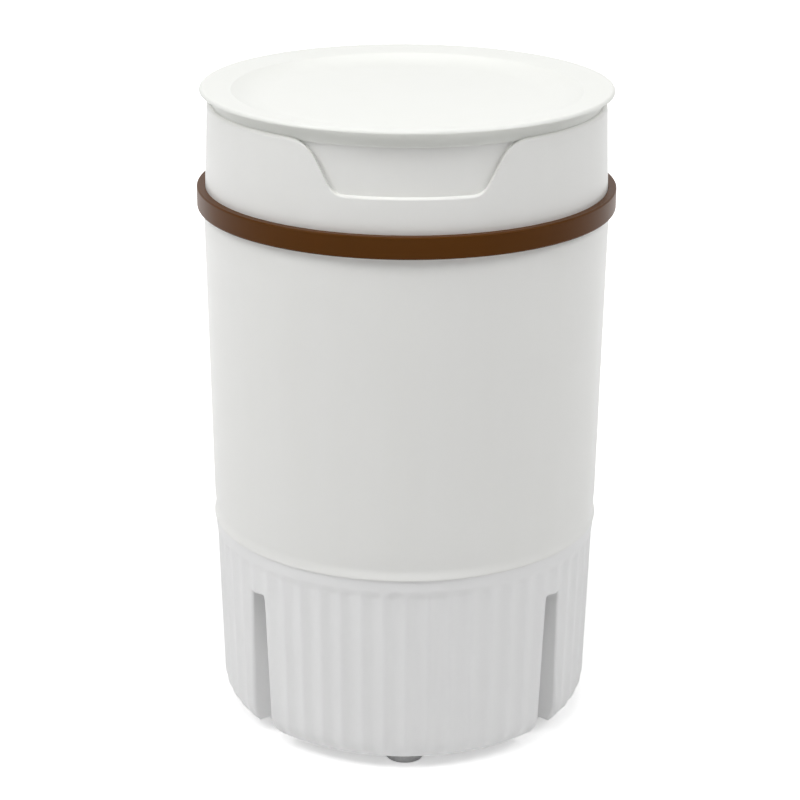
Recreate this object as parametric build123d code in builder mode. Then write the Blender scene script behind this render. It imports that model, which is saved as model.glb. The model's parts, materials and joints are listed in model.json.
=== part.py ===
from build123d import *
import os
from math import acos, atan2, cos, degrees, hypot, pi, radians, sin, sqrt, tan

# Portable washing machine: a lift-off lid, a tub in a tapered shell, and a geared pulsator drive.
# +Z is up, the front faces -Y, and the origin is on the floor, under the middle of the tub.

# Clearances and walls that the pieces share
loose_gap = 0.3
running_gap = 0.05
screw_gap = 0.1
overrun = 3.0
shell_wall = 2.5

# Heights of the stacked shells, from the floor up
foot_height = 6.5
base_height = 124.3
barrel_height = 206.2
collar_height = 57.5
lid_gap = 7.0
lid_flange = 3.0

base_bottom = foot_height
base_top = base_bottom + base_height
barrel_top = base_top + barrel_height
collar_top = barrel_top + collar_height
flange_bottom = collar_top + lid_gap
flange_top = flange_bottom + lid_flange

# Fluted base skirt
base_taper = 3.6
base_edge_radius = 16.0
base_floor = 3.0
flute_count = 56
flute_depth = 0.7
flute_land = 0.8
flute_drop = 11.5
flute_fade = 5.0

# Upright slots in the base, measured from the front and from the back
slot_angle = 50.6
slot_drop = 28.8
slot_top_width = 12.2
slot_bottom_width = 19.2
slot_depth = 15.7
slot_corner = 1.5
slot_wall = 2.2

# Feet and their screws
foot_radius = 11.0
foot_top_radius = 10.0
foot_inset = 26.7
foot_spigot_radius = 6.0
foot_spigot_height = 1.5
foot_boss_height = 8.0
screw_radius = 1.5
screw_head_radius = 2.8
screw_head_height = 2.0
foot_screw_length = 11.0

# Bottom cover
cover_thickness = 3.0
cover_ledge = 9.0
cover_ledge_thickness = 2.5
cover_screw_inset = 4.7
cover_screw_length = 8.0
cover_boss_height = 7.0
vent_count = 8
vent_width = 3.0
vent_start_share = 0.38
vent_length_share = 0.3

# Barrel
barrel_top_radius = 123.9
barrel_taper = 2.7
barrel_waist = 0.2
barrel_waist_share = 0.14
barrel_overhang = 0.9
barrel_lip_radius = 1.5
barrel_flange = 3.0
barrel_flange_reach = 2.0
barrel_spigot_height = 6.0
shell_screw_length = 20.0
shell_boss_radius = 3.8
shell_boss_bite = 0.4
shell_boss_height = 16.0
shell_screw_count = 4
shell_screw_start = 45.0

# Trim ring
ring_thickness = 3.8
ring_height = 13.3
ring_drop = 6.3
ring_edge_radius = 1.5

# Collar and its finger recess
collar_step = 1.15
collar_taper = 2.05
collar_edge_radius = 2.3
recess_setback = 3.7
collar_neck_wall = 2.0
collar_neck_overlap = 14.0
collar_spigot_depth = 15.0
recess_depth = 30.0
recess_bottom_width = 84.8
recess_top_width = 114.8
recess_low_radius = 10.0
recess_high_radius = 17.5

# Lid
lid_overhang = 7.0
lid_flange_width = 19.0
dish_run = 14.0
dish_depth = 6.5
dish_wall = 2.6
skirt_step = 1.0
skirt_wall = 2.0
gasket_height = 1.5

# Tub
tub_taper = 7.5
tub_wall = 2.2
tub_bead_height = 2.2
tub_bead_width = 1.0
tub_foot_height = 2.2
tub_floor = 3.0
tub_corner_radius = 12.0
tub_hub_radius = 16.0
tub_hub_depth = 11.5
tub_boss_radius = 5.0
tub_rib_count = 3
tub_rib_radius = 7.0
tub_rib_share = 0.73
seal_seat_radius = 11.0
seal_lip_radius = 8.5
seal_lip = 1.2
seal_height = 6.0

# Drive shaft and bushes
shaft_radius = 4.0
shaft_flat = 3.2
bush_wall = 3.0
bush_flange = 1.2
bush_flange_width = 2.0
clip_thickness = 0.8
clip_radius = 6.5
clip_groove_depth = 0.8
shaft_tail = 5.0

# Gears
gear_module = 1.5
pressure_angle = 25.0
small_teeth = 12
large_teeth = 36
tooth_backlash = 0.3
stage_one_width = 6.0
stage_two_width = 8.0
stage_gap = 2.0
gear_hub_radius = 8.0
gear_hub_rise = 2.5
idler_angle = -30.0
idler_pin_radius = 3.0
idler_boss_radius = 6.0
idler_boss_rise = 2.0

# Gearbox
gearbox_wall = 2.5
gearbox_plate = 3.0
gearbox_clearance = 1.5
gearbox_ear_radius = 5.0
gearbox_ear_height = 4.0
case_screw_length = 9.0
gearbox_screw_length = 12.5

# Motor
motor_radius = 21.0
motor_share = 0.65
motor_wall = 1.5
motor_face = 3.0
motor_boss_radius = 6.5
motor_cap_height = 6.0
motor_shaft_radius = 2.5
motor_screw_spread = 14.5
motor_screw_length = 5.5
magnet_thickness = 4.0
magnet_arc = 130.0
armature_radius = 14.0
armature_inset = 9.0
armature_slot_width = 3.0
armature_slot_depth = 7.0
armature_poles = 5

# Pulsator
pulsator_margin = 23.0
pulsator_edge_gap = 2.0
pulsator_edge = 5.0
pulsator_rise = 12.0
pulsator_wall = 3.0
pulsator_hub_radius = 12.0
blade_count = 6
blade_width = 7.0
blade_height = 9.0
blade_start_share = 0.24
blade_end_share = 0.9
blade_bow_share = 0.15
drain_hole_radius = 2.5
drain_hole_share = 0.73
pulsator_screw_radius = 2.4
pulsator_screw_head = 6.0
pulsator_cap_radius = 9.0
pulsator_cap_height = 4.0

# Drain
drain_x = 16.0
drain_run = 40.0
drain_rise = 20.5
spout_radius = 8.0
spout_wall = 2.0
spout_length = 11.5
spout_tail = 16.0
spout_flange_radius = 12.0
spout_flange = 2.5
hose_wall = 2.4
hose_bend_radius = 18.0
hose_overlap = 12.0
clip_band_width = 5.0
clip_band = 1.2
stopper_length = 9.0
stopper_head = 5.0
stopper_head_radius = 7.4

# Service pocket at the back of the base
pocket_depth = 14.7
pocket_width = 76.0
pocket_height = 62.0
pocket_bottom = 30.0
pocket_corner = 6.0
button_x = -18.0
button_rise = 45.0
button_radius = 6.0
button_proud = 3.0
button_flange = 1.6
button_flange_radius = 8.0
button_stem_radius = 2.5
button_travel = 1.5
lens_x = -18.0
lens_rise = 56.0
lens_radius = 1.6
inlet_x = -18.0
inlet_rise = 15.0
inlet_radius = 5.5
inlet_flange_radius = 7.5
inlet_flange = 1.5
inlet_bore_radius = 2.75
inlet_bore_depth = 9.5
inlet_pin_radius = 1.0
nut_height = 2.5
nut_radius = 8.0
spout_nut_radius = 12.5

# Control board
board_width = 42.0
board_height = 52.0
board_thickness = 1.6
board_standoff = 8.0
board_post_radius = 3.0
board_inset = 4.0
board_screw_length = 6.0
switch_size = 6.0
switch_height = 3.5
plug_length = 12.0
plug_depth = 6.0
plug_height = 7.0
lead_radius = 1.6

# Radii that follow: each shell from the one that it sits on
barrel_bottom_radius = barrel_top_radius - barrel_taper
base_top_radius = barrel_bottom_radius - barrel_overhang
base_bottom_radius = base_top_radius - base_taper
collar_bottom_radius = barrel_top_radius - collar_step
collar_top_radius = collar_bottom_radius - collar_taper
collar_neck_radius = collar_top_radius - recess_setback
skirt_radius = collar_neck_radius + skirt_step
lid_radius = skirt_radius + lid_overhang
dish_radius = lid_radius - lid_flange_width
dish_floor_radius = dish_radius - dish_run
tub_top_radius = collar_neck_radius - collar_neck_wall - tub_wall - loose_gap
tub_bottom_radius = tub_top_radius - tub_taper
pulsator_radius = tub_bottom_radius - pulsator_margin
shell_screw_circle = base_top_radius - shell_wall - shell_boss_radius + shell_boss_bite
slot_back_radius = base_bottom_radius - slot_depth
foot_circle = base_bottom_radius - foot_inset
cover_radius = foot_circle - foot_radius - loose_gap
cover_screw_circle = cover_radius - cover_screw_inset
pocket_y = base_bottom_radius - pocket_depth
drain_port_y = pocket_y - drain_run

# Heights that follow
draft = degrees(atan2(base_taper, base_height))
slot_height = base_height - slot_drop
rim_top = flange_bottom - gasket_height - loose_gap
barrel_flange_top = base_top + barrel_flange
tub_underside = barrel_flange_top + tub_foot_height
tub_floor_top = tub_underside + tub_floor
gearbox_top = tub_underside - tub_hub_depth
gear_ceiling = gearbox_top - gearbox_plate
output_gear_top = gear_ceiling - bush_flange - loose_gap - gear_hub_rise
output_gear_bottom = output_gear_top - stage_two_width
stage_one_top = output_gear_bottom - stage_gap
stage_one_bottom = stage_one_top - stage_one_width
gear_floor = stage_one_bottom - loose_gap - idler_boss_rise
gearbox_bottom = gear_floor - gearbox_plate
gearbox_split = (stage_one_top + output_gear_bottom) / 2
motor_bottom = gearbox_bottom - motor_share * (gearbox_bottom - base_bottom)
pocket_z = base_bottom + pocket_bottom
drain_z = pocket_z + drain_rise
button_z = pocket_z + button_rise
lens_z = pocket_z + lens_rise
inlet_z = pocket_z + inlet_rise
seal_bottom = tub_underside - seal_height + tub_floor - loose_gap
shaft_top = tub_floor_top + pulsator_edge_gap + pulsator_rise - pulsator_wall

# Places of the gears, the motor and the board
small_pitch_radius = gear_module * small_teeth / 2
large_pitch_radius = gear_module * large_teeth / 2
gear_spacing = small_pitch_radius + large_pitch_radius
idler_x = gear_spacing * cos(radians(idler_angle))
idler_y = gear_spacing * sin(radians(idler_angle))
motor_x = 0
motor_y = -gear_spacing
board_y = pocket_y - shell_wall - board_standoff


def radial_plane(angle, distance):
    """A vertical plane that faces outward, at a distance from the middle; its Y is up."""
    outward = Vector(cos(radians(angle)), sin(radians(angle)), 0)
    return Plane(outward * distance, x_dir=(-outward.Y, outward.X, 0), z_dir=outward)


def turned(*points):
    """The solid that a closed outline of (radius, height) points turns round the Z axis."""
    with BuildPart() as solid:
        with BuildSketch(Plane.XZ):
            with BuildLine():
                Polyline(*points, close=True)
            make_face()
        revolve(axis=Axis.Z)
    return solid.part


def ring(inner, outer, bottom, top):
    """A plain ring about the Z axis."""
    return turned((inner, bottom), (outer, bottom), (outer, top), (inner, top))


def screw(length, shank=screw_radius, head=screw_head_radius, head_height=screw_head_height):
    """A pan-head screw: the shank rises from the origin, with its head below."""
    with BuildPart() as blank:
        Cylinder(shank, length, align=(Align.CENTER, Align.CENTER, Align.MIN))
        Cylinder(head, head_height, align=(Align.CENTER, Align.CENTER, Align.MAX))
        fillet(blank.faces().sort_by(Axis.Z)[0].edges(), head_height / 4)
    return blank.part


def tooth_half_angle(teeth, radius):
    """Half of the angle that a tooth covers at a radius, in radians."""
    pitch_radius = gear_module * teeth / 2
    base_radius = pitch_radius * cos(radians(pressure_angle))
    roll = acos(min(1, base_radius / radius))
    pressure = radians(pressure_angle)
    half_pitch = pi / (2 * teeth) - tooth_backlash / (4 * pitch_radius)
    return half_pitch + (tan(pressure) - pressure) - (tan(roll) - roll)


def gear_blank(teeth, width, tooth_direction):
    """An involute spur gear, with the middle of a tooth in the given direction."""
    pitch_radius = gear_module * teeth / 2
    base_radius = pitch_radius * cos(radians(pressure_angle))
    tip = pitch_radius + gear_module
    root = pitch_radius - 1.25 * gear_module
    start = max(root, base_radius)
    middle = (start + tip) / 2

    def spot(radius, angle):
        return (radius * cos(angle), radius * sin(angle))

    with BuildPart() as blank:
        with BuildSketch():
            with BuildLine():
                for tooth in range(teeth):
                    centre = radians(tooth_direction) + 2 * pi * tooth / teeth
                    low = tooth_half_angle(teeth, start)
                    mid = tooth_half_angle(teeth, middle)
                    high = tooth_half_angle(teeth, tip)
                    following = centre + 2 * pi / teeth
                    if root < start:
                        Line(spot(root, centre - low), spot(start, centre - low))
                        Line(spot(start, centre + low), spot(root, centre + low))
                    ThreePointArc(
                        spot(start, centre - low), spot(middle, centre - mid), spot(tip, centre - high)
                    )
                    ThreePointArc(spot(tip, centre - high), spot(tip, centre), spot(tip, centre + high))
                    ThreePointArc(
                        spot(tip, centre + high), spot(middle, centre + mid), spot(start, centre + low)
                    )
                    ThreePointArc(
                        spot(root, centre + low),
                        spot(root, centre + pi / teeth),
                        spot(root, following - low),
                    )
            make_face()
        extrude(amount=width)
    return blank.part


def flat_sided(radius, flat):
    """A round section with one flat, for a shaft's end and the bores that it drives."""
    with BuildSketch() as section:
        Circle(radius)
        with Locations((flat + radius, 0)):
            Rectangle(2 * radius, 2 * radius, mode=Mode.SUBTRACT)
    return section.sketch


def gearbox_outline(growth):
    """The rounded triangle round the gears and the motor's face."""
    gear_tip = large_pitch_radius + gear_module
    with BuildSketch() as outline:
        with Locations((0, 0), (idler_x, idler_y)):
            Circle(gear_tip + growth)
        with Locations((motor_x, motor_y)):
            Circle(motor_radius - gearbox_wall + growth)
        make_hull()
    return outline.sketch


def ear_spots(places):
    """Centres of screw ears, just outside the gearbox, from (axis x, axis y, radius, angle)."""
    spots = []
    for x, y, radius, angle in places:
        reach = radius + gearbox_clearance + gearbox_wall + gearbox_ear_radius * 0.6
        spots.append((x + reach * cos(radians(angle)), y + reach * sin(radians(angle))))
    return spots


gear_tip_radius = large_pitch_radius + gear_module
motor_face_radius = motor_radius - gearbox_wall
case_ears = ear_spots(
    [
        (0, 0, gear_tip_radius, 160),
        (0, 0, gear_tip_radius, 100),
        (idler_x, idler_y, gear_tip_radius, -35),
        (motor_x, motor_y, motor_face_radius, 240),
    ]
)
tub_ears = ear_spots(
    [
        (0, 0, gear_tip_radius, 130),
        (idler_x, idler_y, gear_tip_radius, 20),
        (motor_x, motor_y, motor_face_radius, 200),
        (motor_x, motor_y, motor_face_radius, 282),
    ]
)
slot_angles = [side + turn for side in (-90, 90) for turn in (-slot_angle, slot_angle)]


# Base skirt
def base_radius_at(height):
    """Outer radius of the base's draft line at a height above the base's underside."""
    return base_bottom_radius + (base_top_radius - base_bottom_radius) * height / base_height


flute_half_pitch = pi * base_top_radius / flute_count
flute_half_width = flute_half_pitch - flute_land / 2
flute_bulge = base_top_radius - sqrt(base_top_radius**2 - flute_half_width**2)
flute_sag = flute_depth - flute_bulge
flute_radius = (flute_half_width**2 + flute_sag**2) / (2 * flute_sag)
flute_reach = flute_half_width + flute_land / 6
flute_edge = flute_radius - flute_depth - sqrt(flute_radius**2 - flute_reach**2)
flute_top = base_height - flute_drop

with BuildPart() as flute_cutter:
    with BuildLine(Plane.XZ) as flute_route:
        flute_run = Line((0, -overrun), (0, flute_top - flute_fade))
        TangentArc((0, flute_top - flute_fade), (flute_depth, flute_top), tangent=flute_run % 1)
    with BuildSketch(Plane.XY.offset(-overrun)):
        with BuildLine():
            ThreePointArc((flute_edge, -flute_reach), (-flute_depth, 0), (flute_edge, flute_reach))
            Polyline(
                (flute_edge, flute_reach),
                (overrun, flute_reach),
                (overrun, -flute_reach),
                (flute_edge, -flute_reach),
            )
        make_face()
    sweep(path=flute_route.line)

with BuildPart() as slot_cutters:
    for angle in slot_angles:
        with BuildSketch(radial_plane(angle, slot_back_radius)):
            with BuildLine():
                FilletPolyline(
                    (-slot_bottom_width / 2, base_bottom - overrun),
                    (slot_bottom_width / 2, base_bottom - overrun),
                    (slot_bottom_width / 2, base_bottom),
                    (slot_top_width / 2, base_bottom + slot_height),
                    (-slot_top_width / 2, base_bottom + slot_height),
                    (-slot_bottom_width / 2, base_bottom),
                    radius=(0, 0, 0, slot_corner, slot_corner, 0),
                    close=True,
                )
            make_face()
        extrude(amount=base_top_radius - slot_back_radius + overrun)

with BuildPart() as slot_boxes:
    for angle in slot_angles:
        with BuildSketch(radial_plane(angle, slot_back_radius - slot_wall)):
            with BuildLine():
                Polyline(
                    (-slot_bottom_width / 2 - slot_wall, base_bottom),
                    (slot_bottom_width / 2 + slot_wall, base_bottom),
                    (slot_top_width / 2 + slot_wall, base_bottom + slot_height + slot_wall),
                    (-slot_top_width / 2 - slot_wall, base_bottom + slot_height + slot_wall),
                    close=True,
                )
            make_face()
        extrude(amount=base_top_radius - slot_back_radius + slot_wall)

pocket_middle = pocket_z + pocket_height / 2
pocket_plane = Plane((0, pocket_y, pocket_middle), x_dir=(-1, 0, 0), z_dir=(0, 1, 0))
pocket_reach = base_top_radius - pocket_y + overrun

with BuildPart() as pocket_cutter:
    with BuildSketch(pocket_plane):
        RectangleRounded(pocket_width, pocket_height, pocket_corner)
    extrude(amount=pocket_reach)

with BuildPart() as pocket_box:
    with BuildSketch(pocket_plane.offset(-shell_wall)):
        RectangleRounded(
            pocket_width + 2 * shell_wall, pocket_height + 2 * shell_wall, pocket_corner + shell_wall
        )
    extrude(amount=pocket_reach)

board_x = button_x - board_inset / 2
board_z = pocket_z + pocket_height / 2
post_spread_x = board_width - 2 * board_inset
post_spread_z = board_height - 2 * board_inset
board_plane = Plane((board_x, pocket_y - shell_wall, board_z), x_dir=(-1, 0, 0), z_dir=(0, -1, 0))
ledge_radius = cover_radius + loose_gap + cover_ledge_thickness
ledge_top = base_bottom + cover_thickness + loose_gap + cover_ledge_thickness

with BuildPart() as base_cavity:
    inner_corner = base_edge_radius - shell_wall
    with BuildSketch(Plane.XZ):
        with BuildLine():
            FilletPolyline(
                (0, ledge_top),
                (ledge_radius, ledge_top),
                (ledge_radius, base_bottom + base_floor),
                (base_radius_at(base_floor) - shell_wall, base_bottom + base_floor),
                (base_top_radius - shell_wall, base_top),
                (0, base_top),
                radius=(0, 0, 0, inner_corner, 0, 0),
                close=True,
            )
        make_face()
    revolve(axis=Axis.Z)
    add(slot_boxes.part, mode=Mode.SUBTRACT)
    add(pocket_box.part, mode=Mode.SUBTRACT)
    with Locations((0, 0, base_bottom)):
        with PolarLocations(foot_circle, 4):
            Cylinder(
                foot_spigot_radius - overrun / 4,
                base_floor + foot_boss_height,
                align=(Align.CENTER, Align.CENTER, Align.MIN),
                mode=Mode.SUBTRACT,
            )
    with Locations((0, 0, base_bottom)):
        with PolarLocations(cover_screw_circle, 4, shell_screw_start):
            Cylinder(
                cover_ledge / 2,
                ledge_top - base_bottom + cover_boss_height,
                align=(Align.CENTER, Align.CENTER, Align.MIN),
                mode=Mode.SUBTRACT,
            )
    with Locations((0, 0, base_top)):
        with PolarLocations(shell_screw_circle, shell_screw_count):
            Cylinder(
                shell_boss_radius,
                shell_boss_height,
                align=(Align.CENTER, Align.CENTER, Align.MAX),
                mode=Mode.SUBTRACT,
            )
    with BuildSketch(board_plane):
        with GridLocations(post_spread_x, post_spread_z, 2, 2):
            Circle(board_post_radius)
    extrude(amount=board_standoff, mode=Mode.SUBTRACT)

with BuildPart() as base_skirt:
    with BuildSketch(Plane.XZ):
        with BuildLine():
            FilletPolyline(
                (0, base_bottom),
                (base_bottom_radius, base_bottom),
                (base_top_radius, base_top),
                (0, base_top),
                radius=(0, base_edge_radius, 0, 0),
                close=True,
            )
        make_face()
    revolve(axis=Axis.Z)
    add(base_cavity.part, mode=Mode.SUBTRACT)
    add(slot_cutters.part, mode=Mode.SUBTRACT)
    add(pocket_cutter.part, mode=Mode.SUBTRACT)
    add(
        ring(0, cover_radius + loose_gap, base_bottom - overrun, base_bottom + cover_thickness + loose_gap),
        mode=Mode.SUBTRACT,
    )
    add(ring(0, cover_radius - cover_ledge, base_bottom, ledge_top + overrun), mode=Mode.SUBTRACT)
    with Locations((0, 0, base_bottom)):
        with PolarLocations(foot_circle, 4):
            Cylinder(
                foot_spigot_radius + screw_gap,
                foot_spigot_height + screw_gap,
                align=(Align.CENTER, Align.CENTER, Align.MIN),
                mode=Mode.SUBTRACT,
            )
            Cylinder(
                screw_radius + screw_gap,
                foot_screw_length - overrun,
                align=(Align.CENTER, Align.CENTER, Align.MIN),
                mode=Mode.SUBTRACT,
            )
        with PolarLocations(cover_screw_circle, 4, shell_screw_start):
            Cylinder(
                screw_radius + screw_gap,
                cover_screw_length + screw_gap,
                align=(Align.CENTER, Align.CENTER, Align.MIN),
                mode=Mode.SUBTRACT,
            )
    with Locations((0, 0, base_top)):
        with PolarLocations(shell_screw_circle, shell_screw_count):
            Cylinder(
                screw_radius + screw_gap,
                shell_boss_height + overrun,
                align=(Align.CENTER, Align.CENTER, Align.MAX),
                mode=Mode.SUBTRACT,
            )
    for x, z, radius in (
        (button_x, button_z, button_radius + loose_gap),
        (lens_x, lens_z, lens_radius + running_gap),
        (inlet_x, inlet_z, inlet_radius + screw_gap),
        (drain_x, drain_z, spout_radius + screw_gap),
    ):
        with Locations(Location((x, pocket_y + overrun, z), (90, 0, 0))):
            Cylinder(
                radius,
                shell_wall + 2 * overrun,
                align=(Align.CENTER, Align.CENTER, Align.MIN),
                mode=Mode.SUBTRACT,
            )
    with BuildSketch(board_plane.offset(board_standoff)):
        with GridLocations(post_spread_x, post_spread_z, 2, 2):
            Circle(screw_radius + screw_gap)
    extrude(amount=-(board_screw_length - board_thickness + screw_gap), mode=Mode.SUBTRACT)
    with PolarLocations(0, flute_count, -90 + 180 / flute_count):
        with Locations(Location((base_bottom_radius, 0, base_bottom), (0, draft, 0))):
            add(flute_cutter.part, mode=Mode.SUBTRACT)

# Bottom cover, with its vents and screws
with BuildPart() as access_cover:
    with Locations((0, 0, base_bottom)):
        Cylinder(cover_radius, cover_thickness, align=(Align.CENTER, Align.CENTER, Align.MIN))
        with PolarLocations(cover_screw_circle, 4, shell_screw_start):
            Cylinder(
                screw_head_radius + loose_gap,
                screw_head_height,
                align=(Align.CENTER, Align.CENTER, Align.MIN),
                mode=Mode.SUBTRACT,
            )
            Cylinder(
                screw_radius + screw_gap,
                cover_thickness,
                align=(Align.CENTER, Align.CENTER, Align.MIN),
                mode=Mode.SUBTRACT,
            )
    with BuildSketch(Plane.XY.offset(base_bottom)):
        with PolarLocations(cover_radius * (vent_start_share + vent_length_share / 2), vent_count):
            SlotOverall(cover_radius * vent_length_share, vent_width)
    extrude(amount=cover_thickness, mode=Mode.SUBTRACT)

with BuildPart() as cover_screws:
    with Locations((0, 0, base_bottom + screw_head_height)):
        with PolarLocations(cover_screw_circle, 4, shell_screw_start):
            add(screw(cover_screw_length - screw_head_height))

# Feet, each held by one screw from below
foot_bore_height = foot_height / 2


def foot(angle):
    """A tapered rubber foot with a spigot in the base and a counterbore for its screw."""
    with BuildPart() as blank:
        add(
            turned(
                (0, 0),
                (foot_radius, 0),
                (foot_top_radius, foot_height),
                (foot_spigot_radius, foot_height),
                (foot_spigot_radius, foot_height + foot_spigot_height),
                (0, foot_height + foot_spigot_height),
            )
        )
        fillet(blank.edges().filter_by(GeomType.CIRCLE).group_by(Axis.Z)[0], foot_height / 6)
        Cylinder(
            screw_head_radius + loose_gap,
            foot_bore_height,
            align=(Align.CENTER, Align.CENTER, Align.MIN),
            mode=Mode.SUBTRACT,
        )
        Cylinder(
            screw_radius + screw_gap,
            foot_height + foot_spigot_height,
            align=(Align.CENTER, Align.CENTER, Align.MIN),
            mode=Mode.SUBTRACT,
        )
    x, y = foot_circle * cos(radians(angle)), foot_circle * sin(radians(angle))
    with BuildPart(Location((x, y, 0))) as placed:
        add(blank.part)
    return placed


foot_front = foot(-90)
foot_right = foot(0)
foot_rear = foot(90)
foot_left = foot(180)

with BuildPart() as foot_screws:
    with Locations((0, 0, foot_bore_height)):
        with PolarLocations(foot_circle, 4):
            add(screw(foot_screw_length))

# Barrel
barrel_flange_radius = tub_bottom_radius - barrel_flange_reach
waist = base_top + barrel_waist_share * barrel_height
barrel_waist_radius = barrel_bottom_radius - barrel_waist

with BuildPart() as barrel:
    with BuildSketch(Plane.XZ):
        with BuildLine():
            FilletPolyline(
                (barrel_flange_radius, base_top),
                (barrel_bottom_radius, base_top),
                (barrel_waist_radius, waist),
                (barrel_top_radius, barrel_top),
                (barrel_top_radius - shell_wall, barrel_top),
                (barrel_waist_radius - shell_wall, waist),
                (barrel_bottom_radius - shell_wall, barrel_flange_top),
                (barrel_flange_radius, barrel_flange_top),
                radius=(0, barrel_lip_radius, 0, 0, 0, 0, 0, 0),
                close=True,
            )
        make_face()
    revolve(axis=Axis.Z)
    spigot_radius = base_top_radius - shell_wall - loose_gap
    add(ring(spigot_radius - shell_wall, spigot_radius, base_top - barrel_spigot_height, base_top))
    with Locations((0, 0, base_top)):
        with PolarLocations(shell_screw_circle, shell_screw_count):
            Cylinder(
                shell_boss_radius + loose_gap,
                barrel_spigot_height,
                align=(Align.CENTER, Align.CENTER, Align.MAX),
                mode=Mode.SUBTRACT,
            )
            Cylinder(
                shell_boss_radius,
                shell_screw_length - shell_boss_height + barrel_flange,
                align=(Align.CENTER, Align.CENTER, Align.MIN),
            )
            Cylinder(
                screw_radius + screw_gap,
                shell_screw_length - shell_boss_height + screw_gap,
                align=(Align.CENTER, Align.CENTER, Align.MIN),
                mode=Mode.SUBTRACT,
            )

with BuildPart() as shell_screws:
    with Locations((0, 0, base_top - shell_boss_height)):
        with PolarLocations(shell_screw_circle, shell_screw_count):
            add(screw(shell_screw_length))

# Trim ring over the joint of barrel and collar
collar_slope = (collar_bottom_radius - collar_top_radius) / collar_height
ring_bottom = barrel_top - ring_drop
ring_radius = barrel_top_radius + ring_thickness
ring_top = ring_bottom + ring_height

with BuildPart() as trim_ring:
    ring_inner_low = barrel_top_radius + screw_gap
    ring_inner_high = collar_bottom_radius - collar_slope * (ring_top - barrel_top) + screw_gap
    with BuildSketch(Plane.XZ):
        with BuildLine():
            FilletPolyline(
                (ring_inner_low, ring_bottom),
                (ring_radius, ring_bottom),
                (ring_radius, ring_top),
                (ring_inner_high, ring_top),
                (collar_bottom_radius + screw_gap, barrel_top + screw_gap),
                (ring_inner_low, barrel_top + screw_gap),
                radius=(0, ring_edge_radius, ring_edge_radius, 0, 0, 0),
                close=True,
            )
        make_face()
    revolve(axis=Axis.Z)

# Collar: an outer wall and a neck, joined by a top web, with a finger recess at the front
neck_inner_radius = collar_neck_radius - collar_neck_wall
collar_neck_depth = recess_depth + collar_neck_overlap
collar_spigot_radius = barrel_top_radius - shell_wall - loose_gap
recess_bottom = collar_top - recess_depth
recess_edge = collar_top + loose_gap


def recess_outline(growth):
    """The recess seen from the front, grown on all sides for the wall behind it."""
    flare = recess_top_width * 0.7
    with BuildSketch() as outline:
        with BuildLine():
            FilletPolyline(
                (-flare, recess_edge),
                (-recess_top_width / 2 - growth, recess_edge),
                (-recess_bottom_width / 2 - growth, recess_bottom - growth),
                (recess_bottom_width / 2 + growth, recess_bottom - growth),
                (recess_top_width / 2 + growth, recess_edge),
                (flare, recess_edge),
                (flare, recess_edge + overrun),
                (-flare, recess_edge + overrun),
                radius=(
                    0,
                    recess_high_radius - growth,
                    recess_low_radius + growth,
                    recess_low_radius + growth,
                    recess_high_radius - growth,
                    0,
                    0,
                    0,
                ),
                close=True,
            )
        make_face()
    return outline.sketch


with BuildPart() as recess_wall:
    with BuildSketch(Plane.XZ):
        add(recess_outline(shell_wall))
    extrude(amount=lid_radius)
    add(
        turned(
            (neck_inner_radius, collar_top - collar_neck_depth),
            (collar_bottom_radius - collar_slope * collar_height / 2, collar_top - collar_neck_depth),
            (collar_top_radius - shell_wall / 2, collar_top - shell_wall / 2),
            (neck_inner_radius, collar_top - shell_wall / 2),
        ),
        mode=Mode.INTERSECT,
    )

with BuildPart() as recess_cutter:
    with BuildSketch(Plane.XZ):
        add(recess_outline(0))
    extrude(amount=lid_radius)
    add(ring(0, collar_neck_radius, barrel_top, flange_top), mode=Mode.SUBTRACT)

with BuildPart() as collar:
    with BuildSketch(Plane.XZ):
        with BuildLine():
            FilletPolyline(
                (collar_spigot_radius, barrel_top - collar_spigot_depth),
                (collar_spigot_radius, barrel_top),
                (collar_bottom_radius, barrel_top),
                (collar_top_radius, collar_top),
                (neck_inner_radius, collar_top),
                (neck_inner_radius, collar_top - collar_neck_depth),
                (collar_neck_radius, collar_top - collar_neck_depth),
                (collar_neck_radius, collar_top - shell_wall),
                (collar_top_radius - shell_wall, collar_top - shell_wall),
                (collar_bottom_radius - shell_wall * 1.5, barrel_top),
                (collar_spigot_radius - shell_wall, barrel_top),
                (collar_spigot_radius - shell_wall, barrel_top - collar_spigot_depth),
                radius=(0, 0, 0, collar_edge_radius, 0, 0, 0, 0, 0, 0, 0, 0),
                close=True,
            )
        make_face()
    revolve(axis=Axis.Z)
    add(recess_wall.part)
    add(recess_cutter.part, mode=Mode.SUBTRACT)

# Tub
tub_slope = (tub_top_radius - tub_bottom_radius) / (rim_top - tub_floor_top)
tub_foot_radius = tub_bottom_radius + tub_wall

with BuildPart() as tub_cavity:
    with BuildSketch(Plane.XZ):
        with BuildLine():
            FilletPolyline(
                (0, tub_floor_top),
                (tub_bottom_radius, tub_floor_top),
                (tub_top_radius, rim_top),
                (0, rim_top),
                radius=(0, tub_corner_radius, 0, 0),
                close=True,
            )
        make_face()
    revolve(axis=Axis.Z)
    with Locations((0, 0, tub_floor_top)):
        with PolarLocations(tub_bottom_radius + tub_wall, tub_rib_count, 30):
            Cone(
                tub_rib_radius,
                tub_rib_radius / 2,
                tub_rib_share * barrel_height,
                align=(Align.CENTER, Align.CENTER, Align.MIN),
                mode=Mode.SUBTRACT,
            )

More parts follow.
